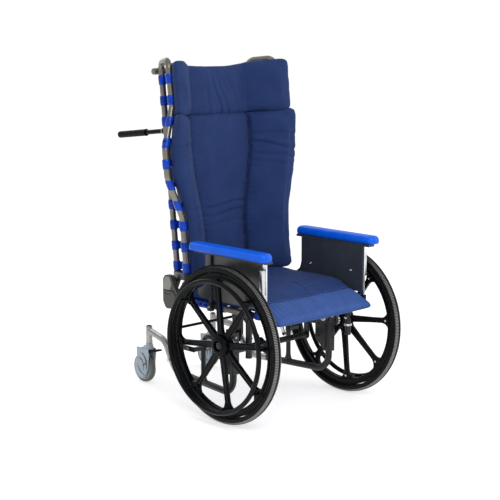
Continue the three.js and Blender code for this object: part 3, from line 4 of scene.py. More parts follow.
import bmesh
import bpy
import numpy as np
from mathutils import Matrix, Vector


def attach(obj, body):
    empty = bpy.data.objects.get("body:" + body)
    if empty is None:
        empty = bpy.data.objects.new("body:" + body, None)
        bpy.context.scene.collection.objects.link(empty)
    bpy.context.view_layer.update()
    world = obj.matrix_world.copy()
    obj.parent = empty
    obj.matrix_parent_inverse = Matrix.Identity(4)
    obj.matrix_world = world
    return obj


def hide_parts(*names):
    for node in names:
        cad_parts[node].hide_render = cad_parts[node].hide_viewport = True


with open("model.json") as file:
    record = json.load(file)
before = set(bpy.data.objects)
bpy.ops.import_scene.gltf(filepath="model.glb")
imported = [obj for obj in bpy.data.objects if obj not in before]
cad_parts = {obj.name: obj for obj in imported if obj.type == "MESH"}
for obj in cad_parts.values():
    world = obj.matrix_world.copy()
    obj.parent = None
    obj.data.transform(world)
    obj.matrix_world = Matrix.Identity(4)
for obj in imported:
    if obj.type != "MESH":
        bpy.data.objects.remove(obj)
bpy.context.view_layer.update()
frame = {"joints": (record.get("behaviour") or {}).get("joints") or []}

# Places: millimetres about the drive axle's middle on the floor, or about the recline hinge for the back
MM = 0.001
joints = {j["name"]: j for j in frame["joints"]}
PIVOT = (20, 318)
SHIFT = joints["tilt"]["pos_m"][1] - PIVOT[0] * MM
HINGE = Vector(joints["recline"]["pos_m"])
LEAN = radians(6.2)
AXLE_Z = joints["drive_wheel_left_spin"]["pos_m"][2] / MM
STEM_X = joints["caster_left_swivel"]["pos_m"][0] / MM
CASTER_Z = joints["caster_left_spin"]["pos_m"][2] / MM
SIGN = {"left": 1, "right": -1}
OUTWARD, INWARD = (1, 0, 0), (-1, 0, 0)
REARWARD, FORWARD = (0, 1, 0), (0, -1, 0)
UP, DOWN = (0, 0, 1), (0, 0, -1)


def chair(x, y, z):
    return Vector((x * MM, y * MM + SHIFT, z * MM))


def back(x, y, z):
    c, s = cos(LEAN), sin(LEAN)
    return HINGE + Vector((x, y * c + z * s, z * c - y * s)) * MM


# Camera
def add_camera():
    azimuth, elevation = radians(-43.44), radians(9.74)
    away = Vector((sin(azimuth) * cos(elevation), -cos(azimuth) * cos(elevation), sin(elevation)))
    camera = bpy.data.objects.new("camera", bpy.data.cameras.new("camera"))
    bpy.context.scene.collection.objects.link(camera)
    camera.location = chair(-3473, -3463, 1469)
    camera.rotation_mode = "QUATERNION"
    camera.rotation_quaternion = away.to_track_quat("Z", "Y")
    camera.data.sensor_width = 36
    camera.data.lens = 91.84
    camera.data.clip_end = 60
    bpy.context.scene.camera = camera


add_camera()


# Materials
def linear(rgb):
    return tuple((c / 255 / 12.92 if c <= 10 else ((c / 255 + 0.055) / 1.055) ** 2.4) for c in rgb) + (1.0,)


def shade(rgb, factor):
    return tuple(min(1.0, c * factor) for c in rgb[:3]) + (1.0,)


class Surface:
    """A node material: a principled shader whose colour, roughness and bump come from noise."""

    def __init__(self, name, rgb, rough=0.5, metal=0.0):
        self.material = bpy.data.materials.new(name)
        self.material.use_nodes = True
        self.tree = self.material.node_tree
        self.shader = self.tree.nodes["Principled BSDF"]
        self.rgb = linear(rgb)
        self.shader.inputs["Base Color"].default_value = self.rgb
        self.shader.inputs["Roughness"].default_value = rough
        self.shader.inputs["Metallic"].default_value = metal
        self.place = self.node("ShaderNodeTexCoord").outputs["Object"]
        self.height = None

    def node(self, kind, **values):
        made = self.tree.nodes.new(kind)
        for key, value in values.items():
            setattr(made, key, value)
        return made

    def link(self, a, b):
        self.tree.links.new(a, b)

    def constant(self, **values):
        for key, value in values.items():
            self.shader.inputs[key.replace("_", " ")].default_value = value
        return self

    def noise(self, scale, detail=3, stretch=None, rough=0.55):
        made = self.node("ShaderNodeTexNoise")
        made.inputs["Scale"].default_value = scale
        made.inputs["Detail"].default_value = detail
        made.inputs["Roughness"].default_value = rough
        place = self.place
        if stretch:
            mapping = self.node("ShaderNodeMapping")
            mapping.inputs["Scale"].default_value = stretch
            self.link(place, mapping.inputs["Vector"])
            place = mapping.outputs["Vector"]
        self.link(place, made.inputs["Vector"])
        return made.outputs["Fac"]

    def wave(self, scale, direction, distortion=0.0, detail_scale=1.0):
        made = self.node("ShaderNodeTexWave", bands_direction=direction)
        made.inputs["Scale"].default_value = scale
        made.inputs["Distortion"].default_value = distortion
        made.inputs["Detail Scale"].default_value = detail_scale
        self.link(self.place, made.inputs["Vector"])
        return made.outputs["Fac"]

    def ramp(self, value, stops):
        made = self.node("ShaderNodeValToRGB")
        while len(made.color_ramp.elements) < len(stops):
            made.color_ramp.elements.new(0.5)
        for element, (place, colour) in zip(made.color_ramp.elements, stops):
            element.position = place
            element.color = colour
        self.link(value, made.inputs["Fac"])
        return made.outputs["Color"]

    def mottle(self, scale=9.0, low=0.9, high=1.1, **more):
        """The colour wanders between a darker and a lighter tone."""
        stops = [(0.32, shade(self.rgb, low)), (0.68, shade(self.rgb, high))]
        self.link(self.ramp(self.noise(scale, **more), stops), self.shader.inputs["Base Color"])
        return self

    def worn(self, scale=30.0, low=0.35, high=0.6, **more):
        """The roughness wanders between two values."""
        made = self.node("ShaderNodeMapRange")
        made.inputs["To Min"].default_value = low
        made.inputs["To Max"].default_value = high
        self.link(self.noise(scale, **more), made.inputs["Value"])
        self.link(made.outputs["Result"], self.shader.inputs["Roughness"])
        return self

    def raise_by(self, value, depth):
        """Adds one texture, depth metres tall, to the bump."""
        scaled = self.node("ShaderNodeMath", operation="MULTIPLY")
        scaled.inputs[1].default_value = depth
        self.link(value, scaled.inputs[0])
        self.height = scaled.outputs[0] if self.height is None else self.plus(self.height, scaled.outputs[0])
        return self

    def plus(self, a, b):
        made = self.node("ShaderNodeMath", operation="ADD")
        self.link(a, made.inputs[0])
        self.link(b, made.inputs[1])
        return made.outputs[0]

    def done(self):
        if self.height is not None:
            bump = self.node("ShaderNodeBump")
            bump.inputs["Strength"].default_value = 1.0
            bump.inputs["Distance"].default_value = 1.0
            self.link(self.height, bump.inputs["Height"])
            self.link(bump.outputs["Normal"], self.shader.inputs["Normal"])
        return self.material


def cloth_surface(name, rgb, ribbed=False):
    made = Surface(name, rgb, 0.7)
    made.mottle(14, 0.9, 1.12, detail=5).worn(60, 0.62, 0.78)
    made.constant(Sheen_Weight=0.04, Sheen_Roughness=0.5, Specular_IOR_Level=0.2)
    for direction in "XZ":
        made.raise_by(made.wave(330, direction, 0.4, 3), 0.00012)
    made.raise_by(made.noise(45, 4), 0.0006)
    if ribbed:
        made.raise_by(made.wave(26, "X", 5.5, 0.7), 0.0006)
    return made.done()


def paint_surface(name, rgb, rough, metal, coat=0.0):
    made = Surface(name, rgb, rough, metal)
    made.mottle(16, 0.86, 1.14, detail=6).worn(55, rough - 0.1, rough + 0.12, detail=5)
    made.constant(Coat_Weight=coat, Coat_Roughness=0.25)
    made.raise_by(made.noise(700, 2), 0.00003).raise_by(made.noise(12, 2), 0.0003)
    return made.done()


def plastic_surface(name, rgb, rough, grain=0.00006, coat=0.0, gloss=0.5):
    made = Surface(name, rgb, rough)
    made.mottle(20, 0.9, 1.12, detail=5).worn(40, rough - 0.08, rough + 0.1, detail=4)
    made.constant(Coat_Weight=coat, Coat_Roughness=0.15, Specular_IOR_Level=gloss)
    made.raise_by(made.noise(900, 3), grain)
    return made.done()


def steel_surface(name, rgb, rough=0.24):
    made = Surface(name, rgb, rough, 1.0)
    made.mottle(40, 0.88, 1.06).worn(80, rough - 0.08, rough + 0.14, detail=5)
    made.raise_by(made.noise(160, 3, stretch=(1, 1, 6)), 0.00002)
    return made.done()


def vinyl_surface():
    made = Surface("strap_vinyl", (2, 72, 205), 0.2)
    made.mottle(26, 0.6, 1.15, detail=4).worn(30, 0.1, 0.28)
    made.constant(Coat_Weight=0.3, Coat_Roughness=0.06, Specular_IOR_Level=0.15)
    made.raise_by(made.noise(90, 3), 0.0014).raise_by(made.noise(34, 2), 0.0022)
    return made.done()


charcoal = paint_surface("charcoal_paint", (36, 37, 39), 0.36, 0.3)
dark_panel = paint_surface("panel_charcoal", (60, 65, 74), 0.4, 0.15)
grey_panel = paint_surface("panel_grey", (86, 87, 86), 0.34, 0.5)
taupe = paint_surface("taupe_paint", (132, 128, 119), 0.3, 0.75, 0.2)
arm_silver = paint_surface("caster_arm_silver", (168, 168, 166), 0.26, 0.8, 0.2)
cover_taupe = plastic_surface("cover_taupe", (72, 72, 67), 0.42, 0.0001)
# A paler copy of the cover paint: painted light on the cover's top
cover_lit_top = plastic_surface("cover_lit_top", (150, 150, 144), 0.36, 0.0001)
black = plastic_surface("black_plastic", (5, 7, 11), 0.26, 0.00004, 0.0, 0.1)
soft_black = plastic_surface("soft_black", (10, 11, 13), 0.45, 0.0002, 0.0, 0.15)
rim_grey = plastic_surface("grey_rim", (9, 12, 16), 0.28, 0.00006, 0.0, 0.14)
rubber = plastic_surface("tyre_rubber", (9, 10, 12), 0.5, 0.0002, 0.0, 0.15)
tread_light = plastic_surface("tread_light", (150, 151, 148), 0.7, 0.0003)
caster_rubber = plastic_surface("caster_tread", (112, 113, 106), 0.6, 0.0002)
caster_grey = plastic_surface("caster_plastic", (178, 192, 204), 0.36)
# Dark grey for the drive wheel's hub nut, and painted groove shade for the crescents on the caster fork
grey_and_groove_shade = plastic_surface("hub_grey_and_groove_shade", (52, 58, 66), 0.5)
steel = steel_surface("bright_steel", (206, 208, 212))
aluminium = steel_surface("aluminium_post", (214, 217, 220), 0.3)
chrome = steel_surface("chrome_heads", (228, 230, 234), 0.12)
navy = cloth_surface("navy_cloth", (34, 57, 108))
seat_navy = cloth_surface("seat_cloth", (36, 62, 117))
# The seat's front face wears a lighter copy of the seat cloth: painted light on the face turned to the lamps
seat_ribs_lit = cloth_surface("seat_front_lit_cloth", (61, 94, 163), ribbed=True)
# A darker navy laid along seam and crease lines: painted shade in their grooves
seam_shade = cloth_surface("seam_painted_shade", (22, 36, 76))
vinyl = vinyl_surface()
pad_blue = plastic_surface("pad_blue", (0, 102, 247), 0.34, 0.00008, 0.0, 0.3)


# Lines and outlines
def bent(corners, radii, steps=8):
    """Straight runs between corners with a round bend at each inner corner."""
    pts = [Vector(c) for c in corners]
    line = [pts[0]]
    for before, corner, after, radius in zip(pts, pts[1:], pts[2:], radii):
        a, b = (corner - before).normalized(), (after - corner).normalized()
        angle = a.angle(b)
        if angle < 1e-4:
            line.append(corner)
            continue
        start = corner - a * radius * tan(angle / 2)
        inward = (b - a * cos(angle)).normalized()
        for k in range(steps + 1):
            t = angle * k / steps
            line.append(start + a * radius * sin(t) + inward * radius * (1 - cos(t)))
    return line + [pts[-1]]


def rounded(corners, steps=5):
    """A closed outline whose corners [x, y, radius] are rounded."""
    out = []
    for i, corner in enumerate(corners):
        here = Vector(corner[:2])
        radius = corner[2] if len(corner) > 2 else 0
        if not radius:
            out.append(here)
            continue
        to_before = (Vector(corners[i - 1][:2]) - here).normalized()
        to_after = (Vector(corners[(i + 1) % len(corners)][:2]) - here).normalized()
        half = to_before.angle(to_after) / 2
        centre = here + (to_before + to_after).normalized() * radius / sin(half)
        start = here + to_before * radius / tan(half) - centre
        end = here + to_after * radius / tan(half) - centre
        sweep = atan2(start.x * end.y - start.y * end.x, start.dot(end))
        for k in range(steps + 1):
            t = sweep * k / steps
            out.append(centre + Vector((start.x * cos(t) - start.y * sin(t),
                start.x * sin(t) + start.y * cos(t))))
    return out


def capsule(a, b, radius, steps=10):
    a, b = Vector(a), Vector(b)
    turn = atan2(b.y - a.y, b.x - a.x)
    out = []
    for centre, start in ((b, turn - pi / 2), (a, turn + pi / 2)):
        for k in range(steps + 1):
            t = start + pi * k / steps
            out.append(centre + Vector((cos(t), sin(t))) * radius)
    return out


def turns(count):
    return np.linspace(0, 2 * pi, count, endpoint=False)


def ring(centre, radius, count=24):
    return [Vector(centre) + Vector((cos(t), sin(t))) * radius for t in turns(count)]


def rect(x0, x1, y0, y1, near, far, steps=5):
    """A rectangle whose corners are rounded by near at x0 and by far at x1."""
    return rounded([(x0, y0, near), (x1, y0, far), (x1, y1, far), (x0, y1, near)], steps)


def band(inner, outer, low, high):
    """The profile of a plain ring."""
    return [(inner, low), (outer, low), (outer, high), (inner, high)]


def disc(radius, low, high):
    return band(0, radius, low, high)


def linked(name, verts, faces, materials, slots=None):
    """An object in the scene whose faces all look outwards."""
    mesh = bpy.data.meshes.new(name)
    mesh.from_pydata(verts, [], faces)
    for material in materials:
        mesh.materials.append(material)
    if slots:
        mesh.polygons.foreach_set("material_index", slots)
    bm = bmesh.new()
    bm.from_mesh(mesh)
    bmesh.ops.recalc_face_normals(bm, faces=bm.faces)
    bm.to_mesh(mesh)
    bm.free()
    obj = bpy.data.objects.new(name, mesh)
    bpy.context.scene.collection.objects.link(obj)
    return obj


class Shape:
    """Collects closed bodies in millimetres and turns them into one piece."""

    def __init__(self, side=None, place=chair, mirror=True):
        self.place, self.side = place, side
        self.sign = SIGN[side] if side and mirror else 1
        self.verts, self.faces, self.slots = [], [], []

    def add(self, points, faces, slot=0):
        base = len(self.verts)
        self.verts += [self.place(self.sign * p[0], p[1], p[2]) for p in points]
        self.faces += [tuple(base + i for i in f) for f in faces]
        self.slots += [slot] * len(faces)
        return self

    def loft(self, rings, slot=0, closed=False):
        """Joins rings of equally many points; the ends are capped unless it closes on itself."""
        n, count = len(rings[0]), len(rings)
        faces = []
        for i in range(count if closed else count - 1):
            a, b = i * n, (i + 1) % count * n
            faces += [(a + j, a + (j + 1) % n, b + (j + 1) % n, b + j) for j in range(n)]
        if not closed:
            faces += [tuple(range(n))[::-1], tuple((count - 1) * n + j for j in range(n))]
        return self.add([p for r in rings for p in r], faces, slot)

    def tube(self, line, radius, sides=20, slot=0, closed=False):
        pts = [Vector(p) for p in line]
        n = len(pts)
        radii = radius if hasattr(radius, "__len__") else [radius] * n
        tangents = []
        for i in range(n):
            before = pts[i - 1] if i or closed else pts[0]
            after = pts[(i + 1) % n] if i < n - 1 or closed else pts[-1]
            tangents.append((after - before).normalized())
        normal = tangents[0].orthogonal().normalized()
        rings = []
        for i in range(n):
            if i:
                normal = tangents[i - 1].rotation_difference(tangents[i]) @ normal
            other = tangents[i].cross(normal)
            rings.append([pts[i] + (normal * cos(t) + other * sin(t)) * radii[i] for t in turns(sides)])
        return self.loft(rings, slot, closed)

    def lathe(self, origin, axis, profile, segments=48, slot=0, closed=False):
        """profile holds (radius, height) pairs; radius 0 closes the end on the axis."""
        axis, origin = Vector(axis).normalized(), Vector(origin)
        a = axis.orthogonal().normalized()
        b = axis.cross(a)
        points, rows = [], []
        for radius, height in profile:
            if radius < 1e-6:
                rows.append([len(points)] * segments)
                points.append(origin + axis * height)
                continue
            rows.append(list(range(len(points), len(points) + segments)))
            for k in range(segments):
                t = 2 * pi * k / segments
                points.append(origin + axis * height + (a * cos(t) + b * sin(t)) * radius)
        faces = []
        pairs = list(zip(rows, rows[1:])) + ([(rows[-1], rows[0])] if closed else [])
        for low, high in pairs:
            for k in range(segments):
                quad = (low[k], low[(k + 1) % segments], high[(k + 1) % segments], high[k])
                face = tuple(dict.fromkeys(quad))
                if len(face) > 2:
                    faces.append(face)
        return self.add(points, faces, slot)

    def prism(self, outline, axis, low, high, slot=0):
        """An outline in the plane across axis, given in the order x, y, z, runs from low to high."""
        low, high = sorted((low, high))

        def spot(p, h):
            return {"x": (h, p[0], p[1]), "y": (p[0], h, p[1]), "z": (p[0], p[1], h)}[axis]
        return self.loft([[spot(p, low) for p in outline], [spot(p, high) for p in outline]], slot)

    def box(self, x0, x1, y0, y1, z0, z1, slot=0):
        return self.prism([(y0, z0), (y1, z0), (y1, z1), (y0, z1)], "x", x0, x1, slot)

    def bolt(self, origin, axis, radius=5, height=3, slot=1):
        """A domed head with a round recess."""
        profile = [(1, 0.45), (0.86, 0.82), (0.55, 1), (0.42, 0.97), (0.4, 0.4), (0, 0.4)]
        profile = [(radius * r, height * h) for r, h in profile]
        self.lathe(origin, axis, [(0, -1), (radius, -1)] + profile, 20, slot)

    def sided(self, name):
        return f"{name}_{self.side}" if self.side else name

    def piece(self, node, look, body, materials, bevel=0.9, angle=38, name=None):
        """Takes the place of a CAD node and has its name, unless another is given."""
        full_name = f"{self.sided(name or node)}_{look}"
        obj = linked(full_name, self.verts, self.faces, materials, self.slots)
        obj.data.shade_smooth()
        obj.data.set_sharp_from_angle(angle=radians(angle))
        if bevel:
            made = obj.modifiers.new("edges", "BEVEL")
            made.width, made.segments = bevel * MM, 2
            made.limit_method, made.angle_limit = "ANGLE", radians(angle)
            obj.modifiers.new("normals", "WEIGHTED_NORMAL").keep_sharp = True
        return settle(obj, body, self.sided(node))


def settle(obj, body, node):
    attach(obj, body)
    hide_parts(node)
    return obj


# Drive wheels
TYRE_R, TYRE_HALF, WHEEL_X = 305, 17.5, 333
RIM_OUT, RIM_IN = 275.8, 250
HUB_R, HAND_RIM_R = 42, 250
SPOKE_TURNS = [pi / 4 * i + radians(7) for i in range(8)]


def tyre(side):
    """A tyre whose shoulders carry fine cross ribs, every other one lighter in colour."""
    shape = Shape(side)
    around = 640
    centre = TYRE_R - TYRE_HALF
    angles = [radians(a) for a in (-128, -118, -100, -84, -72, -62, -52, -42, -34, -26, -18, -11, -4, 4, 11,
        18, 26, 34, 42, 52, 62, 72, 84, 100, 118, 128)]
    points, faces, slots = [], [], []
    for k in range(around):
        t = 2 * pi * k / around
        for a in angles:
            ribbed = radians(17) < abs(a) < radians(70)
            groove = abs(abs(a) - radians(11)) < radians(3)
            section = TYRE_HALF - (1.8 if ribbed and k % 2 else 0) - (1.0 if groove else 0)
            if abs(a) > radians(120):
                section = TYRE_HALF - 1.6
            r = centre + section * cos(a)
            points.append((WHEEL_X + section * sin(a), r * sin(t), AXLE_Z + r * cos(t)))
    n = len(angles)
    for k in range(around):
        for j in range(n):
            a, b = k * n + j, k * n + (j + 1) % n
            c, d = (k + 1) % around * n + (j + 1) % n, (k + 1) % around * n + j
            faces.append((a, b, c, d))
            middle = abs(angles[j] + angles[(j + 1) % n]) / 2
            slots.append(1 if j < n - 1 and radians(20) < middle < radians(64) and k % 2 == 0 else 0)
    shape.add(points, faces)
    shape.slots = slots
    shape.piece("tyre", "treaded", f"drive_wheel_{side}", [rubber, tread_light], bevel=0,
        angle=50)


def dish(r):
    return 5 * min(1.0, max(0.0, 1 - (r - HUB_R) / (RIM_IN - HUB_R)))


def spoke_half_width(r):
    half = 10.5 + 3.5 * max(0.0, 1 - (r - 45) / 120)
    if r > 212:
        half += 38 - sqrt(max(0.0, 38 ** 2 - (r - 212) ** 2))
    if r < 62:
        half += 9 * ((62 - r) / 17) ** 2 / 2
    return half


def mag_wheel(side):
    shape = Shape(side)
    for turn in SPOKE_TURNS:
        rings = []
        for r in [30, 40, 46, 52, 58, 66, 90, 130, 170, 200, 212, 218, 224, 230, 235, 239, 243, 246.5, 249,
                252]:
            half = min(spoke_half_width(r), r * tan(pi / 8) * 0.99)
            front, rear = WHEEL_X + 8 + dish(r), WHEEL_X - 8 + dish(r)
            ridge = 1.6 if 60 < r < 236 else 0
            section = [(rear + 2, -half), (rear + 4, -half - 0.2), (front - 3, -half),
                (front - 0.8, -half + 1.2), (front, -half + 3.2), (front - ridge, -half * 0.4),
                (front - ridge, half * 0.4), (front, half - 3.2), (front - 0.8, half - 1.2),
                (front - 3, half), (rear + 4, half + 0.2), (rear + 2, half), (rear, half - 2.5),
                (rear, -half + 2.5)]
            rings.append([(x, w * cos(turn) + r * sin(turn), AXLE_Z + r * cos(turn) - w * sin(turn))
                for x, w in section])
        shape.loft(rings)
    origin = (WHEEL_X, 0, AXLE_Z)
    shape.lathe(origin, OUTWARD, [(RIM_IN, -10.5), (RIM_IN - 0.6, -8), (RIM_IN - 0.6, 8), (RIM_IN, 10.5),
        (RIM_IN + 2, 12.4), (RIM_IN + 5, 13), (RIM_IN + 8, 12.6), (RIM_IN + 9.5, 11.4), (RIM_IN + 17, 10.8),
        (RIM_IN + 18.5, 12.2), (RIM_IN + 21, 14.6), (RIM_IN + 24, 15), (RIM_OUT, 13.6), (RIM_OUT, -13.6),
        (RIM_IN + 24, -15), (RIM_IN + 20, -14), (RIM_IN + 17, -10.8), (RIM_IN + 3, -12.6)], 144, closed=True)
    shape.lathe(origin, OUTWARD, [(0, -29.6), (28, -29.6), (30, -28), (30.5, -9), (40, -7.5), (HUB_R + 1, -4),
        (HUB_R + 1.5, 14), (HUB_R + 0.4, 22), (HUB_R - 1, 24.6), (HUB_R - 3, 25.6), (33, 26.4), (30, 30),
        (28, 31), (21.6, 31), (20, 29.6), (19.4, 20), (0, 20)], 72)
    shape.lathe(origin, OUTWARD, [(0, 19), (15, 19), (15, 23), (13.4, 24.6), (9, 24.6), (8.4, 23),
        (8.4, 21.4), (0, 21.4)], 6, slot=3)
    shape.lathe(origin, OUTWARD, [(0, 21), (6.4, 21), (6.2, 26.4), (4.6, 27.6), (0, 27.6)], 20, slot=3)
    for turn in SPOKE_TURNS:
        place = (WHEEL_X - 7.6, 238 * sin(turn), AXLE_Z + 238 * cos(turn))
        shape.bolt(place, INWARD, 5.2, 4.6, slot=2)
    shape.piece("drive_wheel", "moulded", f"drive_wheel_{side}", [black, soft_black, chrome, grey_and_groove_shade],
        bevel=0, name="wheel")


def hand_rim(side):
    shape = Shape(side)
    x = WHEEL_X + 54
    loop = [(x, HAND_RIM_R * sin(t), AXLE_Z + HAND_RIM_R * cos(t)) for t in turns(144)]
    shape.tube(loop, 9.4, 18, closed=True)
    for turn in SPOKE_TURNS:
        s, c = sin(turn), cos(turn)
        line = [(WHEEL_X + 8.6, 237 * s, AXLE_Z + 237 * c), (WHEEL_X + 13, 237.4 * s, AXLE_Z + 237.4 * c),
            (WHEEL_X + 24, 239.4 * s, AXLE_Z + 239.4 * c), (x - 10, 246 * s, AXLE_Z + 246 * c),
            (x, 249 * s, AXLE_Z + 249 * c)]
        shape.tube(line, [8.6, 5.8, 5, 5.4, 5], 14)
    shape.piece("handrim", "round", f"drive_wheel_{side}", [rim_grey], bevel=0)


# Casters, about each swivel axis
CASTER_Y, TRAIL = 632, 32


def arc(centre, radius, start, end, steps=9):
    """A thin crescent between two angles, in degrees, that stands for a groove; drawn dark, it carries
    painted groove shade.
    """
    out = []
    for k in range(steps + 1):
        t = radians(start + (end - start) * k / steps)
        out.append((centre[0] + radius * cos(t), centre[1] + radius * sin(t)))
    for k in range(steps, -1, -1):
        t = radians(start + (end - start) * k / steps)
        thin = radius - 5.2 * sin(pi * (0.08 + 0.84 * k / steps))
        out.append((centre[0] + thin * cos(t), centre[1] + thin * sin(t)))
    return out


def stand(side):
    """Places points about the swivel axis of one side's caster."""
    return lambda x, y, z: chair(SIGN[side] * STEM_X + x, CASTER_Y + y, z)


def caster_fork(side):
    fork = Shape(side, stand(side), mirror=False)
    for lo, hi in ((16.2, 21.6), (-21.6, -16.2)):
        out = 1 if hi > 0 else -1
        face = hi if hi > 0 else lo
        cheek = rounded([(-17, 150, 3), (-19, 124, 14), (-14, 96, 30), (-12, 62, 34), (8, 20, 34),
            (46, 16, 34), (74, 44, 34), (72, 84, 34), (58, 108, 20), (60, 150, 4)], 7)
        fork.prism(cheek, "x", lo, hi)
        fork.prism(ring((TRAIL, CASTER_Z), 37, 48), "x", face - out, face + 1.4 * out)
        # Dark crescents on each cheek: painted shade standing in for moulded grooves
        for spot, radius, start, end in (((44, 82), 52, 112, 206), ((46, 70), 37, 96, 214),
                ((4, 84), 50, -92, -8), ((24, 108), 34, 190, 268)):
            fork.prism(arc(spot, radius, start, end), "x", face + 0.4 * out, face + 1.9 * out, slot=2)
        fork.bolt((face + 1.4 * out, TRAIL, CASTER_Z), (out, 0, 0), 5.4, 2, slot=0)
    crown = rounded([(-18, 128, 8), (0, 131), (58, 131, 4), (57, 146, 8), (30, 150), (-16, 150, 6)], 4)
    fork.prism(crown, "x", -21, 21)
    fork.lathe((0, 0, 0), UP, [(0, 146), (20, 146), (20.4, 152), (17, 158), (15, 166), (13.6, 171.4),
        (0, 171.4)], 36)
    fork.prism(rect(-20, -8, 132, 148, 3, 3, 3), "x", -19.6, 19.6, slot=3)
    fork.lathe((0, 0, 0), UP, disc(8.8, 160, 233), 24, slot=1)
    fork.tube([(-21, TRAIL, CASTER_Z), (21, TRAIL, CASTER_Z)], 4.9, 20, slot=1)
    fork.piece("caster_fork", "moulded", f"caster_fork_{side}", [caster_grey, steel, grey_and_groove_shade, soft_black],
        bevel=1.2)


def caster_wheel(side):
    wheel = Shape(side, stand(side), mirror=False)
    origin = (0, TRAIL, CASTER_Z)
    wheel.lathe(origin, OUTWARD, [(51, -11.6), (55, -12.6), (59.4, -10.6), (61.6, -6), (62.3, 0), (61.6, 6),
        (59.4, 10.6), (55, 12.6), (51, 11.6), (49, 8), (49, -8)], 96, closed=True)
    wheel.lathe(origin, OUTWARD, [(5.3, -12), (13, -12), (15, -10), (20, -8), (38, -8), (44, -10),
        (48, -11.8), (50.8, -12), (50.8, 12), (48, 11.8), (44, 10), (38, 8), (20, 8), (15, 10), (13, 12),
        (5.3, 12)], 96, slot=1, closed=True)
    for k in range(5):
        t = 2 * pi * k / 5
        s, c = sin(t), cos(t)
        for x0, x1 in ((6.5, 10.4), (-10.4, -6.5)):
            corners = ((13, -3.4), (46, -2.4), (46, 2.4), (13, 3.4))
            rib = [(x, TRAIL + r * s + w * c, CASTER_Z + r * c - w * s) for x in (x0, x1) for r, w in corners]
            wheel.add(rib, [(0, 1, 2, 3), (7, 6, 5, 4), (0, 4, 5, 1), (1, 5, 6, 2), (2, 6, 7, 3),
                (3, 7, 4, 0)], 1)
    wheel.piece("caster_wheel", "moulded", f"caster_wheel_{side}", [caster_rubber, caster_grey],
        bevel=0)


def caster_pedal(side):
    pedal = Shape(side, stand(side), mirror=False)
    pedal.tube([(-16.8, -24.3, 140.5), (16.8, -24.3, 140.5)], 5.9, 20)
    tread = rounded([(-24, 137.6), (-24, 143.4), (-44, 149, 20), (-63.5, 153, 2), (-64.2, 147, 2),
        (-44, 143, 20)], 4)
    pedal.prism(tread, "x", -16.6, 16.6)
    for k in range(4):
        y = -42 - 5.4 * k
        pedal.box(-14, 14, y - 1.4, y + 1.4, 146 + 0.24 * (-42 - y), 150.6 + 0.24 * (-42 - y))
    pedal.piece("caster_pedal", "ribbed", f"caster_pedal_{side}", [soft_black], bevel=1)


# Base frame: the side frames run inwards to the rear
TAPER = tan(radians(8.05))
LEG_Y, STRUT_Y, RAIL_Z = 16, 221, 95
CROSS, BAR, LOCK = (128, 227), (470, 262), (323.6, 237)


def side_x(y):
    return 267 - (y - LEG_Y) * TAPER


def on_side(y, z):
    return (side_x(y), y, z)


def base_side(side):
    frame_side = Shape(side)
    frame_side.tube(bent([on_side(LEG_Y, 298), on_side(LEG_Y, RAIL_Z), on_side(329, RAIL_Z)], [62], 12), 13.9,
        24)
    frame_side.tube(bent([on_side(STRUT_Y, RAIL_Z), on_side(STRUT_Y, 290), on_side(35, 290)], [45], 10), 9.9,
        20)
    x = side_x(STRUT_Y)
    gusset = [(192, 95), (250, 95), (240, 107), (233, 122), (231, 141), (211, 141), (209, 122), (202, 107)]
    frame_side.prism(gusset, "x", x - 4, x + 4)
    frame_side.tube([on_side(STRUT_Y, 104), on_side(STRUT_Y, 128)], [11.4, 10.2], 20)
    frame_side.tube([on_side(300, RAIL_Z), on_side(328, RAIL_Z)], 14.6, 24)
    frame_side.bolt((side_x(314) + 13.6, 314, RAIL_Z), (1, 0.14, 0), 5, 3.4)
    frame_side.piece("base_side", "tubes", "base", [charcoal, steel])


def upright(side):
    sleeve = Shape(side)
    sleeve.prism(rect(249, 285, -2, 34, 5, 5, 4), "z", 176, 340)
    plate = rounded([(16, 339.6), (16, 188.4), (34, 188.4, 4), (74, 224, 10), (74, 339.6, 4)], 4)
    sleeve.prism(plate, "x", 246, 252)
    for y, z in ((54, 236), (58, 262), (54, 288), (58, 314)):
        sleeve.prism(ring((y, z), 4.6, 18), "x", 245.2, 252.6, slot=2)
    for z in (206, 284):
        sleeve.bolt((249.4, 16, z), INWARD, 5, 2.6, slot=2)
    for z in (206, 234, 262):
        sleeve.prism(ring((268, z), 3.6, 18), "y", -2.5, -1.6, slot=2)
    sleeve.bolt((268, -1.6, 322), FORWARD, 5.6, 3)
    sleeve.lathe((267, 16, 0), UP, [(0, 339), (15, 339), (15, 342.6), (12, 344), (0, 344)], 28, slot=3)
    sleeve.lathe((252, *PIVOT), INWARD, [(0, 0), (7.9, 0), (7.9, 15.6), (12.8, 15.6), (12.8, 20), (9, 21.6),
        (6, 21.6), (5.6, 18), (0, 18)], 24, slot=1)
    sleeve.lathe((249.4, *PIVOT), INWARD, disc(15, -1, 1.6), 28, slot=1)
    sleeve.piece("upright", "sleeve", "base", [charcoal, steel, soft_black, black])


def axle_bolt(side):
    axle = Shape(side)
    origin = (285.3, 0, AXLE_Z)
    axle.lathe(origin, OUTWARD, [(0, 0), (21.6, 0), (21.6, 9), (20, 11), (14, 17.2), (9.9, 17.2), (9.9, 66),
        (0, 66)], 36)
    axle.lathe(origin, OUTWARD, disc(17, 2, 16.8), 6)
    axle.piece("axle", "bolt", "base", [steel], bevel=0.5)


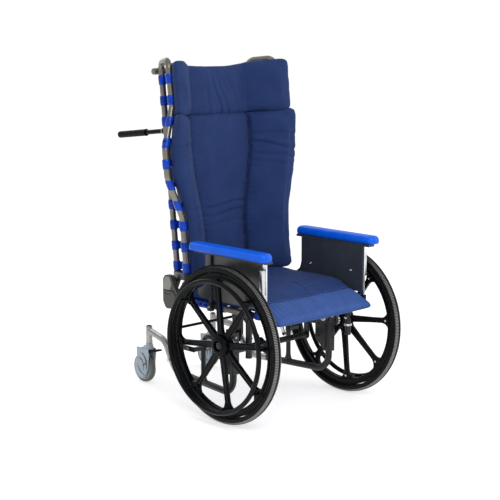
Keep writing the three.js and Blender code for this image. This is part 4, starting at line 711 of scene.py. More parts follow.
def caster_arm(side):
    arm = Shape(side)
    line = bent([on_side(330.3, RAIL_Z), on_side(428, RAIL_Z), on_side(505, 208), on_side(CASTER_Y, 228)],
        [75, 75], 12)
    arm.tube(line, 13.8, 24)
    arm.lathe((side_x(CASTER_Y), CASTER_Y, 0), UP, [(9.6, 172.3), (13.2, 172.3), (14.2, 174), (14.2, 180),
        (13.3, 182), (13.3, 236), (14, 238), (14, 243), (12, 246), (0, 246)], 36)
    arm.lathe((side_x(CASTER_Y), CASTER_Y, 0), UP, [(0, 243), (11, 243), (11, 247.6), (8, 249), (0, 249.4)],
        28, slot=1)
    arm.tube([on_side(334, RAIL_Z), on_side(356, RAIL_Z)], 15.2, 24)
    arm.bolt((side_x(345) + 14, 345, RAIL_Z), (1, 0.14, 0), 5, 3.4, slot=2)
    arm.piece("caster_arm", "tube", "base", [arm_silver, soft_black, steel], bevel=0.6)


def lock_bracket(side):
    bracket = Shape(side)
    x = side_x(STRUT_Y)
    bracket.box(x + 9.8, 286, 213.4, 228.6, 229.4, 244.6)
    bracket.prism(rect(213.4, 335.4, 227.2, 246.8, 3, 9.6, 6), "x", 286, 292)
    bracket.lathe((286, *LOCK), OUTWARD, [(0, 0), (4.9, 0), (4.9, 12.6), (8, 12.6), (8, 14.6), (5, 15.8),
        (0, 15.8)], 24, slot=1)
    for y in (252, 286):
        bracket.bolt((292, y, 237), OUTWARD, 4.6, 3)
    bracket.lathe((x, STRUT_Y, LOCK[1]), UP, band(10.2, 12.6, -9, 9), 28, closed=True)
    bracket.piece("lock_bracket", "plate", "base", [charcoal, steel], bevel=0.6)


def lock_lever(side):
    lever = Shape(side)
    shank = rounded([(296, 186, 8), (312, 182, 8), (334, 232, 30), (343, 292), (325, 292), (314, 240, 20)], 6)
    lever.prism(shank, "x", 292.4, 298.2)
    lever.lathe((298, *LOCK), OUTWARD, [(0, -5), (10.4, -5), (10.4, 0), (8.6, 0.6), (0, 0.6)], 28)
    lever.lathe((292.4, 306, 190), OUTWARD, [(0, 0), (8, 0), (8.9, 2), (8.9, 56), (7.8, 59), (0, 59.4)], 32)
    for k in range(7):
        lever.lathe((312 + 5.2 * k, 306, 190), OUTWARD, [(8.6, 0), (9.4, 0.7), (9.4, 2.2), (8.6, 3)], 32,
            closed=True)
    lever.prism(rounded([(322, 290, 3), (347, 290, 3), (350, 304, 5), (324, 304, 5)], 4), "x", 288.6, 302.2,
        slot=1)
    lever.piece("lock_lever", "forged", f"lock_lever_{side}", [steel, soft_black], bevel=0.8)


def base_cross_tube():
    cross = Shape()
    end = side_x(CROSS[0])
    cross.tube([(-end + 4, *CROSS), (end - 4, *CROSS)], 12.4, 28)
    for s in (-1, 1):
        cross.lathe((s * (end - 4), *CROSS), (s, 0, 0), [(0, -3), (17, -3), (18, -1.6), (18, 3), (0, 3)], 32)
        cross.prism(rounded([(114, 214.6, 6), (142, 214.6, 6), (140, 279.6, 3), (116, 279.6, 3)], 4), "x",
            s * end - 4, s * end + 4)
    for s in (-1, 1):
        ear = capsule((150, 240), CROSS, 11)
        cross.prism(ear, "x", s * 9, s * 13)
        cross.bolt((s * 13, 150, 240), (s, 0, 0), 6, 3)
    cross.tube([(-13, 150, 240), (13, 150, 240)], 4.9, 18, slot=1)
    cross.tube([(-60, *CROSS), (-44, *CROSS)], 15.4, 28)
    cross.tube([(60, *CROSS), (76, *CROSS)], 15.4, 28)
    cross.piece("base_cross_tube", "round", "base", [charcoal, steel])


def rear_cross_bar():
    bar = Shape()
    end = side_x(BAR[0])
    bar.tube([(-end, *BAR), (end, *BAR)], 5.9, 20)
    for s in (-1, 1):
        bar.prism(rounded([(463.2, 176), (476.8, 176), (476.8, 268, 6.4), (463.2, 268, 6.4)], 5), "x",
            s * end - 3, s * end + 3)
        bar.bolt((s * (end + 3), *BAR), (s, 0, 0))
    bar.piece("rear_cross_bar", "round", "base", [black, steel])


# Seat frame
SEAT_X, SEAT_Z, SEAT_FRONT, SEAT_REAR = 250, 418, -130, 335
STRAP_HALF = 19.5


def seat_frame():
    tube = Shape()
    line = bent([(SEAT_X, SEAT_REAR, SEAT_Z), (SEAT_X, SEAT_FRONT, SEAT_Z), (-SEAT_X, SEAT_FRONT, SEAT_Z),
        (-SEAT_X, SEAT_REAR, SEAT_Z)], [40, 40], 12)
    tube.tube(line, 12.4, 24)
    for y in (60, 300):
        tube.tube([(-249, y, SEAT_Z), (249, y, SEAT_Z)], 12.3, 24)
    for x, y, z, ty in ((0, 300, 380, 300), (108, 60, 372, 60)):
        for s in (-1, 1):
            tube.prism(capsule((y, z), (ty, SEAT_Z), 11), "x", x + s * 9, x + s * 13)
            tube.bolt((x + s * 13, y, z), (s, 0, 0), 6, 3)
        tube.tube([(x - 13, y, z), (x + 13, y, z)], 4.9, 18, slot=1)
    for s in (-1, 1):
        tube.lathe((s * SEAT_X, SEAT_REAR, SEAT_Z), REARWARD, [(0, -8), (11, -8), (12.6, -0.6), (12.6, 1.8),
            (9, 3.4), (0, 3.6)], 28, slot=2)
    tube.piece("seat_frame", "tubes", "seat", [taupe, steel, soft_black])


def seat_straps():
    """A hammock of straps; each wraps both side tubes in a full turn, with a rivet inboard of each wrap."""
    wraps = Shape()
    for y in (-40, 98, 178, 222, 266):
        for s in (-1, 1):
            profile = [(13, -20), (14.6, -19.4), (15.9, -15), (15.6, -4), (16.1, 3), (15.5, 12), (15.7, 17),
                (14.4, 19.6), (13, 20)]
            wraps.lathe((s * SEAT_X, y, SEAT_Z), REARWARD, profile, 28, closed=True)
            wraps.bolt((s * 226, y, 405.8), DOWN, 4.6, 2)
        rings = []
        for x in np.linspace(-SEAT_X, SEAT_X, 41):
            sag = 2.2 * (1 - (x / SEAT_X) ** 2)
            top = 433.6 - sag * 0.4
            rings.append([(x, y - STRAP_HALF, top), (x, y + STRAP_HALF, top), (x, y + STRAP_HALF, top - 2.4),
                (x, y - STRAP_HALF, top - 2.4)])
        wraps.loft(rings)
        rings = []
        for x in np.linspace(-SEAT_X, SEAT_X, 41):
            low = 402.2 + 3.5 * (1 - (x / SEAT_X) ** 2)
            rings.append([(x, y - STRAP_HALF, low), (x, y - STRAP_HALF, low + 2.4),
                (x, y + STRAP_HALF, low + 2.4), (x, y + STRAP_HALF, low)])
        wraps.loft(rings)
    for s in (-1, 1):
        corner = bent([(s * SEAT_X, -97, SEAT_Z), (s * SEAT_X, SEAT_FRONT, SEAT_Z),
            (s * 208, SEAT_FRONT, SEAT_Z)], [40], 10)[1:-1]
        corner = [Vector((s * SEAT_X, -96, SEAT_Z))] + corner + [Vector((s * 206, SEAT_FRONT, SEAT_Z))]
        radii = [14.4 + 1.5 * sin(pi * k / (len(corner) - 1)) ** 0.5 + 0.5 * sin(2.4 * k)
            for k in range(len(corner))]
        wraps.tube(corner, radii, 28)
    wraps.box(-7, 7, -60, 286, 403.4, 405.2, slot=2)
    wraps.piece("seat_straps", "wrapped", "seat", [vinyl, steel, soft_black], bevel=0)


def tilt_hanger(side):
    hanger = Shape(side)
    outline = rounded([(-12, 409.4), (0, 318, 6), (2, 298, 18), (38, 298, 18), (40, 318, 6), (52, 409.4)], 6)
    hanger.prism(outline, "x", 236, 242)
    hanger.lathe((242, *PIVOT), INWARD, band(8.4, 14, 0, 7.6), 28, slot=1, closed=True)
    for y in (-2, 42):
        hanger.bolt((236.2, y, 396), INWARD)
    hanger.piece("tilt_hanger", "plate", "seat", [charcoal, steel])


def hinge_cover(side):
    cover = Shape(side)
    x0, x1 = 262.8, 282.8
    outline = rounded([(318, 402, 6), (340, 380, 20), (396, 375, 20), (412.8, 404, 18), (412.8, 494, 20),
        (398, 512, 14), (364, 512, 16), (344, 468, 24), (318, 436, 8)], 6)
    cover.prism(outline, "x", x0, x1)
    lower = rounded([(328, 404, 6), (346, 386, 14), (390, 381, 16), (406, 408, 14), (406, 449, 4),
        (350, 449, 8), (330, 430, 6)], 5)
    cover.prism(lower, "x", x1 - 2, x1 + 3.4)
    # The upper panel takes the paler copy: the cover's top painted lighter, as lit from above
    upper = rounded([(366, 453, 5), (407, 453, 5), (407, 490, 14), (394, 506, 10), (370, 506, 10),
        (358, 478, 12)], 5)
    cover.prism(upper, "x", x1 - 2, x1 + 2.6, slot=1)
    cover.prism(rounded([(338, 449, 2), (407, 449, 2), (407, 453, 2), (346, 453, 2)], 2), "x", x1 - 2,
        x1 + 0.8, slot=3)
    for y, z in ((396, 437), (381, 437), (366, 437)):
        cover.lathe((x1 + 3.2, y, z), OUTWARD, [(0, -1), (4.2, -1), (4.2, 0.5), (2.6, 0.5), (2.6, -0.4),
            (0, -0.4)], 20, slot=3)
    cover.lathe((x1, 395, 445), INWARD, [(0, 0), (8.9, 0), (8.9, 43), (15.8, 43), (15.8, 46), (11, 48),
        (0, 48)], 28, slot=2)
    cover.piece("hinge_cover", "moulded", "seat", [cover_taupe, cover_lit_top, steel, soft_black],
        bevel=1.6)


POST_X, POST_Y = 275.3, -80


def legrest_post(side):
    post = Shape(side)
    post.tube([(POST_X, POST_Y, 258.4), (POST_X, POST_Y, 432)], 12.3, 28)
    post.lathe((POST_X, POST_Y, 0), UP, [(11, 258), (12.9, 258.4), (12.9, 266), (12.3, 267)], 28, closed=True)
    post.lathe((POST_X, POST_Y, 0), UP, band(12, 15.9, 296, 304.8), 36, slot=1, closed=True)
    post.lathe((POST_X, POST_Y, 0), UP, [(0, 431), (13.2, 431), (13.2, 433.6), (9, 435.4), (0, 435.6)], 28,
        slot=2)
    post.box(262.8, 275, -92, -68, 406, 430)
    post.lathe((259, POST_Y, 410), INWARD, disc(7, -3, 1.6), 20, slot=1)
    post.lathe((POST_X, POST_Y, 330), INWARD, [(0, 10), (6, 10), (6, 15.4), (4, 16.8), (0, 16.8)], 20, slot=1)
    post.piece("legrest_post", "tube", "seat", [charcoal, steel, soft_black], bevel=0.5)


def well(socket, x0, x1, y0, y1, wall=3.6, z0=404.2, z1=436):
    """Four walls and a floor."""
    for low, high in ((y0, y0 + wall), (y1 - wall, y1)):
        socket.box(x0, x1, low, high, z0, z1)
    for low, high in ((x0, x0 + wall), (x1 - wall, x1)):
        socket.box(low, high, y0 + wall - 0.5, y1 - wall + 0.5, z0, z1)
    socket.box(x0 + 1, x1 - 1, y0 + 1, y1 - 1, z0, z0 + 6)


def arm_socket_front(side):
    front = Shape(side)
    well(front, 263.3, 277.3, -175, -147)
    front.prism(rect(191, 264.8, -169.8, -143, 4, 2, 4), "z", 408.2, 419.8)
    front.lathe((277.3, -161, 422), OUTWARD, [(0, -1), (5.4, -1), (5.4, 4), (3, 5), (0, 5)], 20, slot=1)
    front.piece("arm_socket_front", "welded", "seat", [charcoal, soft_black], bevel=0.7)


def arm_socket_rear(side):
    rear = Shape(side)
    well(rear, 263, 281, 127.1, 148.9)
    rear.box(262.9, 265, 131.2, 144.8, 408.2, 419.8)
    rear.bolt((281, 138, 420), OUTWARD, 4.6, 3)
    rear.piece("arm_socket_rear", "welded", "seat", [charcoal, steel], bevel=0.7)


# Arms
def arm_panel(side):
    panel = Shape(side)
    outline = rounded([(-166, 447.2, 8), (207, 447.2, 8), (216.6, 462, 6), (216.6, 481, 5), (200, 487, 10),
        (181, 500, 24), (173, 530, 30), (173, 630.6), (-166, 630.6)], 6)
    panel.prism(outline, "x", 263.1, 264.9)
    panel.prism(outline, "x", 264.9, 266.9, slot=1)
    lip = rounded([(-165.6, 470, 2), (196, 470, 8), (184, 489.6, 3), (-165.6, 489.6, 2)], 3)
    panel.prism(lip, "x", 262.3, 264)
    panel.prism(rect(263.1, 299.8, -195.8, 203.8, 3, 5, 4), "z", 631, 640.6)
    panel.prism(rect(266.8, 277, 131.2, 144.8, 2, 2, 3), "z", 412.2, 631)
    for y in (118, -104):
        panel.bolt((263.1, y, 528), INWARD, 5.6, 3.4, slot=2)
        panel.bolt((266.9, y, 528), OUTWARD, 5, 2.6, slot=2)
    for y, z in ((84, 588), (-130, 612)):
        panel.lathe((266.9, y, z), OUTWARD, disc(3.4, -1, 0.6), 16, slot=3)
    panel.piece("arm_panel", "sheet", f"arm_{side}", [dark_panel, grey_panel, chrome, soft_black],
        bevel=0.7)


def arm_post(side):
    post = Shape(side)
    post.prism(rect(267.4, 273.2, -170.9, -151.2, 1.6, 1.6, 4), "z", 412.2, 630.6)
    grip = rect(272.4, 289.2, -166.8, -148.2, 3, 5, 5)
    rings = []
    for z, inset in ((510.2, 3), (512, 1), (515, 0), (600, 0), (603, 1), (605.2, 3.4)):
        rings.append([(p.x + (280.8 - p.x) * inset / 9, p.y + (-157.5 - p.y) * inset / 9, z) for p in grip])
    post.loft(rings, slot=1)
    post.piece("arm_post", "bar", f"arm_{side}", [chrome, aluminium], bevel=0.6)


def arm_pad(side):
    pad = Shape(side)
    rows = [(641, 4, 20), (643, 1.6, 22), (647, 0.4, 24), (653, 0, 25), (658, 0.4, 25), (663, 2, 24),
        (667, 4.6, 22), (670, 8.4, 19), (671.6, 13, 16), (671.9, 17, 12)]
    rings = []
    for z, inset, corner in rows:
        lo, hi, y0, y1 = 265.2 + inset, 326.8 - inset, -207.8 + inset, 215.8 - inset
        rings.append([(p.x, p.y, z) for p in rect(lo, hi, y0, y1, corner, corner, 8)])
    pad.loft(rings)
    made = pad.piece("arm_pad", "moulded", f"arm_{side}", [pad_blue], bevel=0, angle=60)


# Back frame, about the recline hinge
WING_STOPS = ((48, 279), (292, 278), (456, 338), (562, 338), (726, 287), (905, 287))
WING_Y, REAR_X, REAR_Y = -134, 232, -22
LOW_Z, GRIP_Z, TOP_Z = 62, 636, 872
CRANK = (2.6, -70.1)
BACK_STRAPS, LOWEST_STRAP, STRAP_PITCH = 10, 98, 82


def wing_x(z):
    return float(np.interp(z, *zip(*WING_STOPS)))


def ladder_line():
    return bent([(REAR_X, REAR_Y, 53), (REAR_X, REAR_Y, 905), (287, WING_Y, 905), (287, WING_Y, 726),
        (338, WING_Y, 562), (338, WING_Y, 456), (278, WING_Y, 292), (279, WING_Y, 53)],
        [34, 34, 60, 60, 60, 60], 10)


def back_ladder(side):
    tube = Shape(side, back)
    tube.tube(ladder_line(), 12.4, 24)
    tube.tube([(REAR_X, REAR_Y, GRIP_Z), (REAR_X, 104, GRIP_Z)], 9.4, 20, slot=1)
    tube.tube([(REAR_X, REAR_Y - 2, 622), (REAR_X, REAR_Y - 2, 650)], 14.2, 24)
    tube.lathe((REAR_X, -8, GRIP_Z), REARWARD, [(0, 0), (12.6, 0), (12.6, 6), (10.4, 9), (9.3, 9)], 28)
    hug = capsule((REAR_X, REAR_Y), (wing_x(588), WING_Y), 14.2, 12)
    inner = capsule((REAR_X, REAR_Y), (wing_x(588), WING_Y), 12.2, 12)
    tube.loft([[(p.x, p.y, 576) for p in hug], [(p.x, p.y, 598) for p in hug],
        [(p.x, p.y, 598) for p in inner], [(p.x, p.y, 576) for p in inner]], slot=2, closed=True)
    tube.piece("back_ladder", "tube", "back", [taupe, black, soft_black], bevel=0.5)


def push_grip(side):
    grip = Shape(side, back)
    profile = [(9.8, 102.2), (13.2, 102.2), (14.4, 104), (14.4, 109), (13, 111)]
    y = 113
    while y < 268:
        profile += [(12.6, y), (13.6, y + 1.4), (13.6, y + 4.8), (12.6, y + 6.2)]
        y += 7.4
    profile += [(13.4, 270), (14, 273), (13.4, 277.6), (11, 279.8), (0, 280)]
    grip.lathe((REAR_X, 0, GRIP_Z), REARWARD, [(0, 104)] + profile, 36)
    grip.piece("push_grip", "ribbed", "back", [soft_black], bevel=0)


def hinge_arm(side):
    foot = Shape(side, back)
    outline = capsule((REAR_X, REAR_Y), (279, WING_Y), 16.4, 14)
    foot.prism(outline, "z", 48.2, 75.8)
    foot.prism(capsule((REAR_X, REAR_Y), (279, WING_Y), 13.8, 14), "z", 75, 78.4, slot=1)
    plate = rounded([(-26, -26, 25), (26, -26, 25), (26, 20, 24), (-5.6, 52, 8), (-56, 52, 8), (-28, 6, 26)],
        8)
    foot.prism(plate, "x", 240.2, 257.8)
    foot.lathe((240, 0, 0), INWARD, band(9.8, 20, -2, 0.8), 32, slot=2, closed=True)
    foot.bolt((REAR_X - 15.6, REAR_Y - 20, LOW_Z), (-1, -0.35, 0), slot=2)
    foot.piece("hinge_arm", "forged", "back", [charcoal, soft_black, steel], bevel=1)


def top_cross_tube():
    top = Shape(place=back)
    y = REAR_Y + 12.5 + 13.5 + 0.3
    line = [(-255.6, y, TOP_Z), (-253.5, y, TOP_Z), (-247, y, TOP_Z), (247, y, TOP_Z), (253.5, y, TOP_Z),
        (255.6, y, TOP_Z)]
    top.tube(line, [8.6, 12, 13.4, 13.4, 12, 8.6], 28)
    for s in (-1, 1):
        top.tube([(s * REAR_X, REAR_Y, 858), (s * REAR_X, REAR_Y, 886)], 14, 24)
        top.tube([(s * REAR_X, REAR_Y, TOP_Z), (s * REAR_X, y, TOP_Z)], 9, 20)
    top.piece("top_cross_tube", "round", "back", [taupe], bevel=0.5)


def lower_cross_tube():
    low = Shape(place=back)
    low.tube([(-216, REAR_Y, LOW_Z), (216, REAR_Y, LOW_Z)], 12.3, 24)
    for s in (-1, 1):
        low.lathe((s * 216, REAR_Y, LOW_Z), (-s, 0, 0), [(12, -1), (15, -1), (15, 6), (12.2, 9)], 28,
            closed=True)
    low.prism(capsule((REAR_Y, LOW_Z), CRANK, 11), "x", 91.2, 98.8)
    low.tube([(91.4, *CRANK), (117, *CRANK)], 4.9, 18, slot=1)
    low.bolt((91.4, *CRANK), INWARD, 7, 3)
    low.piece("lower_cross_tube", "round", "back", [taupe, steel], bevel=0.5)


def back_straps():
    """Straps slung inside both ladders; each wraps every tube that it passes in a glossy sleeve."""
    shape = Shape(place=back)
    for level in range(BACK_STRAPS):
        z = LOWEST_STRAP + STRAP_PITCH * level
        for s in (-1, 1):
            for x, y, drop in ((REAR_X, REAR_Y, 0), (None, WING_Y, -2)):
                rings = []
                for k, h in enumerate(np.linspace(z - 19 + drop, z + 19 + drop, 9)):
                    centre = x if x else wing_x(h)
                    bulge = 14.2 + 1.5 * sin(pi * k / 8) ** 0.5 + 0.35 * sin(level * 5 + k * 2.1)
                    rings.append([(s * (centre + bulge * cos(t)), y + bulge * sin(t), h) for t in turns(28)])
                shape.loft(rings)
        path = [(-wing_x(z), WING_Y), (-REAR_X, REAR_Y), (REAR_X, REAR_Y), (wing_x(z), WING_Y)]
        for i, (a, b) in enumerate(zip(path, path[1:])):
            a, b = Vector(a), Vector(b)
            along = (b - a).normalized()
            out = Vector((along.y, -along.x)) if i != 1 else Vector((0, -1))
            if i != 1 and out.y > 0:
                out = -out
            rings = []
            for t in np.linspace(0, 1, 13):
                sag = (2.4 if i == 1 else 1.0) * sin(pi * t)
                p = a.lerp(b, t) + out * (15.4 - sag)
                q = a.lerp(b, t) + out * (13.2 - sag)
                rings.append([(p.x, p.y, z - 15), (p.x, p.y, z + 15), (q.x, q.y, z + 15), (q.x, q.y, z - 15)])
            shape.loft(rings)
        for s in (-1, 1):
            shape.bolt((s * 205, REAR_Y - 10.6, z), REARWARD, 4.8, 2)
    shape.box(-7, 7, REAR_Y - 13.4, REAR_Y - 11.4, 80, 854, slot=2)
    shape.piece("back_straps", "wrapped", "back", [vinyl, steel, soft_black], bevel=0,
        angle=50)


# Gas springs
def spring(name, x, foot, head, length):
    foot, head = Vector((x, *foot)), Vector((x, *head))
    along = (head - foot).normalized()
    body = Shape()
    body.lathe(foot, along, [(0, 8), (7, 8), (8, 14), (10.6, 16), (10.6, length - 6), (8.6, length - 0.5),
        (5.6, length - 0.5), (5.6, 0.3 * length), (0, 0.3 * length)], 28)
    body.lathe(foot, OUTWARD, band(5.5, 11.6, -6.8, 6.8), 28, closed=True)
    body.piece(f"{name}_body", "round", f"{name}_cylinder", [black], bevel=0.4,
        name=f"{name}_cylinder")
    rod = Shape()
    rod.lathe(head, -along, [(0, 15), (5, 15), (4.9, 20), (4.9, 110), (0, 110)], 20)
    rod.lathe(head, OUTWARD, band(13.4, 17.6, -6.8, 6.8), 32, closed=True)
    rod.lathe(head + along * -17, -along, [(0, -3), (8, -3), (8, 4), (5, 8), (0, 8)], 20)
    rod.piece(f"{name}_rod", "round", f"{name}_plunger", [steel], bevel=0.4)


BY_SIDE = (tyre, mag_wheel, hand_rim, caster_fork, caster_wheel, caster_pedal, base_side, upright, axle_bolt,
    caster_arm, lock_bracket, lock_lever, tilt_hanger, hinge_cover, legrest_post, arm_socket_front,
    arm_socket_rear, arm_panel, arm_post, arm_pad, back_ladder, push_grip, hinge_arm)
for side in SIGN:
    for build in BY_SIDE:
        build(side)
for build in (base_cross_tube, rear_cross_bar, seat_frame, seat_straps, top_cross_tube, lower_cross_tube,
        back_straps):
    build()
crank = back(0, *CRANK)
crank_mm = ((crank.y - SHIFT) / MM, crank.z / MM)
spring("tilt_spring", 0, (150, 240), (300, 380), 118)
spring("recline_spring", 108, (60, 372), crank_mm, 190)


# Cushions: a closed form is remeshed, inflated as cloth, then sewn and creased
def closed_form(face, rear, us, vs):
    """Vertices and faces of a form between a face sheet and a rear sheet on one grid."""
    verts = [sheet(u, v) for sheet in (face, rear) for v in vs for u in us]
    rows, cols = len(vs), len(us)

    def at(sheet, r, c):
        return sheet * rows * cols + r * cols + c

    faces = []
    for r in range(rows - 1):
        for c in range(cols - 1):
            faces.append((at(0, r, c), at(0, r, c + 1), at(0, r + 1, c + 1), at(0, r + 1, c)))
            faces.append((at(1, r, c), at(1, r + 1, c), at(1, r + 1, c + 1), at(1, r, c + 1)))
        faces.append((at(0, r, 0), at(0, r + 1, 0), at(1, r + 1, 0), at(1, r, 0)))
        faces.append((at(0, r + 1, cols - 1), at(0, r, cols - 1), at(1, r, cols - 1), at(1, r + 1, cols - 1)))
    for c in range(cols - 1):
        faces.append((at(0, 0, c + 1), at(0, 0, c), at(1, 0, c), at(1, 0, c + 1)))
        faces.append((at(0, rows - 1, c), at(0, rows - 1, c + 1), at(1, rows - 1, c + 1), at(1, rows - 1, c)))
    return verts, faces


def evaluated(obj):
    """Puts what the object's modifiers make of its mesh in their place."""
    graph = bpy.context.evaluated_depsgraph_get()
    made = bpy.data.meshes.new_from_object(obj.evaluated_get(graph))
    old = obj.data
    obj.modifiers.clear()
    obj.data = made
    bpy.data.meshes.remove(old)


def vectors(items, key="co"):
    out = np.empty(len(items) * 3)
    items.foreach_get(key, out)
    return out.reshape(-1, 3)


def inflate(obj, cap, frames=20):
    """A cloth sim under pressure; no point moves further than cap metres."""
    rest = vectors(obj.data.vertices)
    cloth = obj.modifiers.new("cloth", "CLOTH")
    settings = cloth.settings
    settings.quality = 5
    settings.mass = 0.3
    settings.use_pressure = True
    settings.uniform_pressure_force = 4
    settings.effector_weights.gravity = 0
    settings.tension_stiffness = settings.compression_stiffness = 18
    settings.shear_stiffness = 6
    settings.bending_stiffness = 0.6
    cloth.point_cache.frame_start, cloth.point_cache.frame_end = 1, frames
    scene = bpy.context.scene
    for number in range(1, frames + 1):
        scene.frame_set(number)
    graph = bpy.context.evaluated_depsgraph_get()
    moved = vectors(obj.evaluated_get(graph).to_mesh().vertices) - rest
    obj.evaluated_get(graph).to_mesh_clear()
    obj.modifiers.remove(cloth)
    scene.frame_set(1)
    size = np.linalg.norm(moved, axis=1, keepdims=True)
    moved *= cap * np.tanh(size / cap) / np.maximum(size, 1e-9)
    obj.data.vertices.foreach_set("co", (rest + moved).ravel())
    obj.data.update()


def cushion(node, form, body, materials, cap, sew, voxel=0.006):
    obj = linked(f"{node}_quilted", *form, materials)
    remesh = obj.modifiers.new("remesh", "REMESH")
    remesh.mode, remesh.voxel_size = "VOXEL", voxel
    smooth = obj.modifiers.new("smooth", "SMOOTH")
    smooth.factor, smooth.iterations = 0.5, 3
    evaluated(obj)
    inflate(obj, cap)
    obj.modifiers.new("smooth", "SMOOTH").iterations = 2
    obj.modifiers.new("finer", "SUBSURF").levels = 1
    evaluated(obj)
    co, slots = sew(vectors(obj.data.vertices), vectors(obj.data.vertex_normals, "vector"))
    obj.data.vertices.foreach_set("co", co.ravel())
    corner = np.array([p.vertices[0] for p in obj.data.polygons])
    obj.data.polygons.foreach_set("material_index", slots[corner].astype(np.int32))
    obj.data.update()
    obj.data.shade_smooth()
    settle(obj, body, node)


def to_back(co):
    """World points as millimetres about the hinge, in the leaning frame of the back."""
    p = (co - np.array(HINGE)) / MM
    c, s = cos(LEAN), sin(LEAN)
    return np.stack([p[:, 0], p[:, 1] * c - p[:, 2] * s, p[:, 1] * s + p[:, 2] * c], 1)


def before_straps(co):
    """Keeps the rear face of a cushion in front of the straps that carry it."""
    past = np.clip(to_back(co)[:, 1] - STRAP_FACE, 0, None) * MM
    return co - past[:, None] * np.array((0, cos(LEAN), -sin(LEAN)))


def groove(distance, width):
    return np.exp(-(distance / width) ** 2)


def ridge(offset, width, share):
    """A soft fold: a crease on one side of a low roll."""
    return share * (groove(offset - width, width) * 0.7 - groove(offset, width * 0.55))


TIP_X = ((46, 252), (200, 255), (290, 257), (370, 278), (430, 292), (500, 305), (590, 309), (690, 302))
TIP_Y = ((46, -196), (200, -199), (300, -203), (420, -208), (500, -214), (590, -222), (690, -234))
SEAM_X = ((46, 112), (250, 110), (330, 122), (430, 144), (560, 160), (690, 159))
SEAM_Y = ((46, -56), (330, -58), (430, -64), (560, -75), (690, -77))
CORNER, NOSE = 26, 15
INSET, CROWN, THICKNESS = 4, 12, 40
REAR_FACE, STRAP_FACE = -39.6, -38.6


def along(stops, z):
    return np.interp(z, *zip(*stops))


def smooth_along(stops, z):
    return np.mean([along(stops, z + d) for d in (-40, -20, 0, 20, 40)], axis=0)


def wing_section(seam, tip, tube_x, space):
    """Face and rear lines of a winged cushion at one height; u runs from -2 at one tip to 2 at the other."""
    wing = tip - seam
    normal = Vector((wing.y, -wing.x)).normalized()
    rear_tube, wing_tube = Vector((REAR_X, REAR_Y)), Vector((tube_x, WING_Y))
    run = (wing_tube - rear_tube).normalized()
    inward = Vector((run.y, -run.x))
    at_tube = wing_tube + inward * space
    corner = rear_tube + inward * space
    corner = corner + run * ((REAR_FACE - corner.y) / run.y)
    tip_back = tip - normal * THICKNESS
    stops = [Vector((seam.x, REAR_FACE)), corner, at_tube, tip_back]

    def face(u):
        share = abs(u)
        if share <= 1:
            return Vector((share * seam.x, seam.y - (CROWN - INSET) * (1 - share ** 4) + INSET * share ** 4))
        t = share - 1
        nose = NOSE * max(0.0, (t - 0.84) / 0.16) ** 2
        return seam + wing * t * (1 - INSET / wing.length) + normal * (9 * sin(pi * t) ** 0.7 - INSET - nose)

    def rear(u):
        share = abs(u)
        if share <= 1:
            return Vector((share * seam.x, REAR_FACE - INSET * 0.2))
        t = (share - 1) * 3
        step = min(int(t), 2)
        p = stops[step].lerp(stops[step + 1], t - step) + normal * NOSE * max(0.0, (t - 2.5) / 0.5) ** 2
        return p + (seam - p).normalized() * INSET * min(1, t) * 0.6

    return face, rear


def rounding(distance):
    """How far a wing tip draws in near the lower or upper edge of its cushion."""
    short = CORNER - min(CORNER, max(0.0, distance))
    return CORNER - sqrt(CORNER ** 2 - short ** 2)


def winged(heights, section, dip, sag):
    low, high = heights[0], heights[-1]
    us = sorted({round(s * u, 4) for s in (-1, 1) for u in [0, .12, .25, .38, .5, .62, .74, .85, .94, 1, 1.05,
        1.12, 1.2, 4 / 3, 1.45, 1.56, 5 / 3, 1.78, 1.88, 1.95, 2]})

    def sheet(which):
        def spot(u, z):
            face, rear = section(z)
            room = min(1.0, min(z - low, high - z) / 16)
            swell = 0.84 + 0.16 * sqrt(1 - (1 - room) ** 2)
            p = rear(u) if which else rear(u).lerp(face(u), swell)
            if abs(u) > 1.4:
                share = (abs(u) - 1.4) / 0.6
                p = p + (Vector((150, -70)) - p).normalized() * rounding(min(z - low, high - z)) * share
            share = (z - low) / (high - low)
            lower = (dip * share + sag * (1 - share)) * max(0.0, 1 - (abs(u) / 1.25) ** 2)
            return back(copysign(p.x, u), p.y, z - lower)
        return spot
    return closed_form(sheet(0), sheet(1), us, heights)


def back_section(z):
    seam = Vector((float(smooth_along(SEAM_X, z)), float(smooth_along(SEAM_Y, z))))
    tip = Vector((float(smooth_along(TIP_X, z)) - 1, float(smooth_along(TIP_Y, z)) + 2))
    return wing_section(seam, tip, wing_x(z), 22)


def head_section(z):
    return wing_section(Vector((150, -80)), Vector((289, -221)), 287, 18)


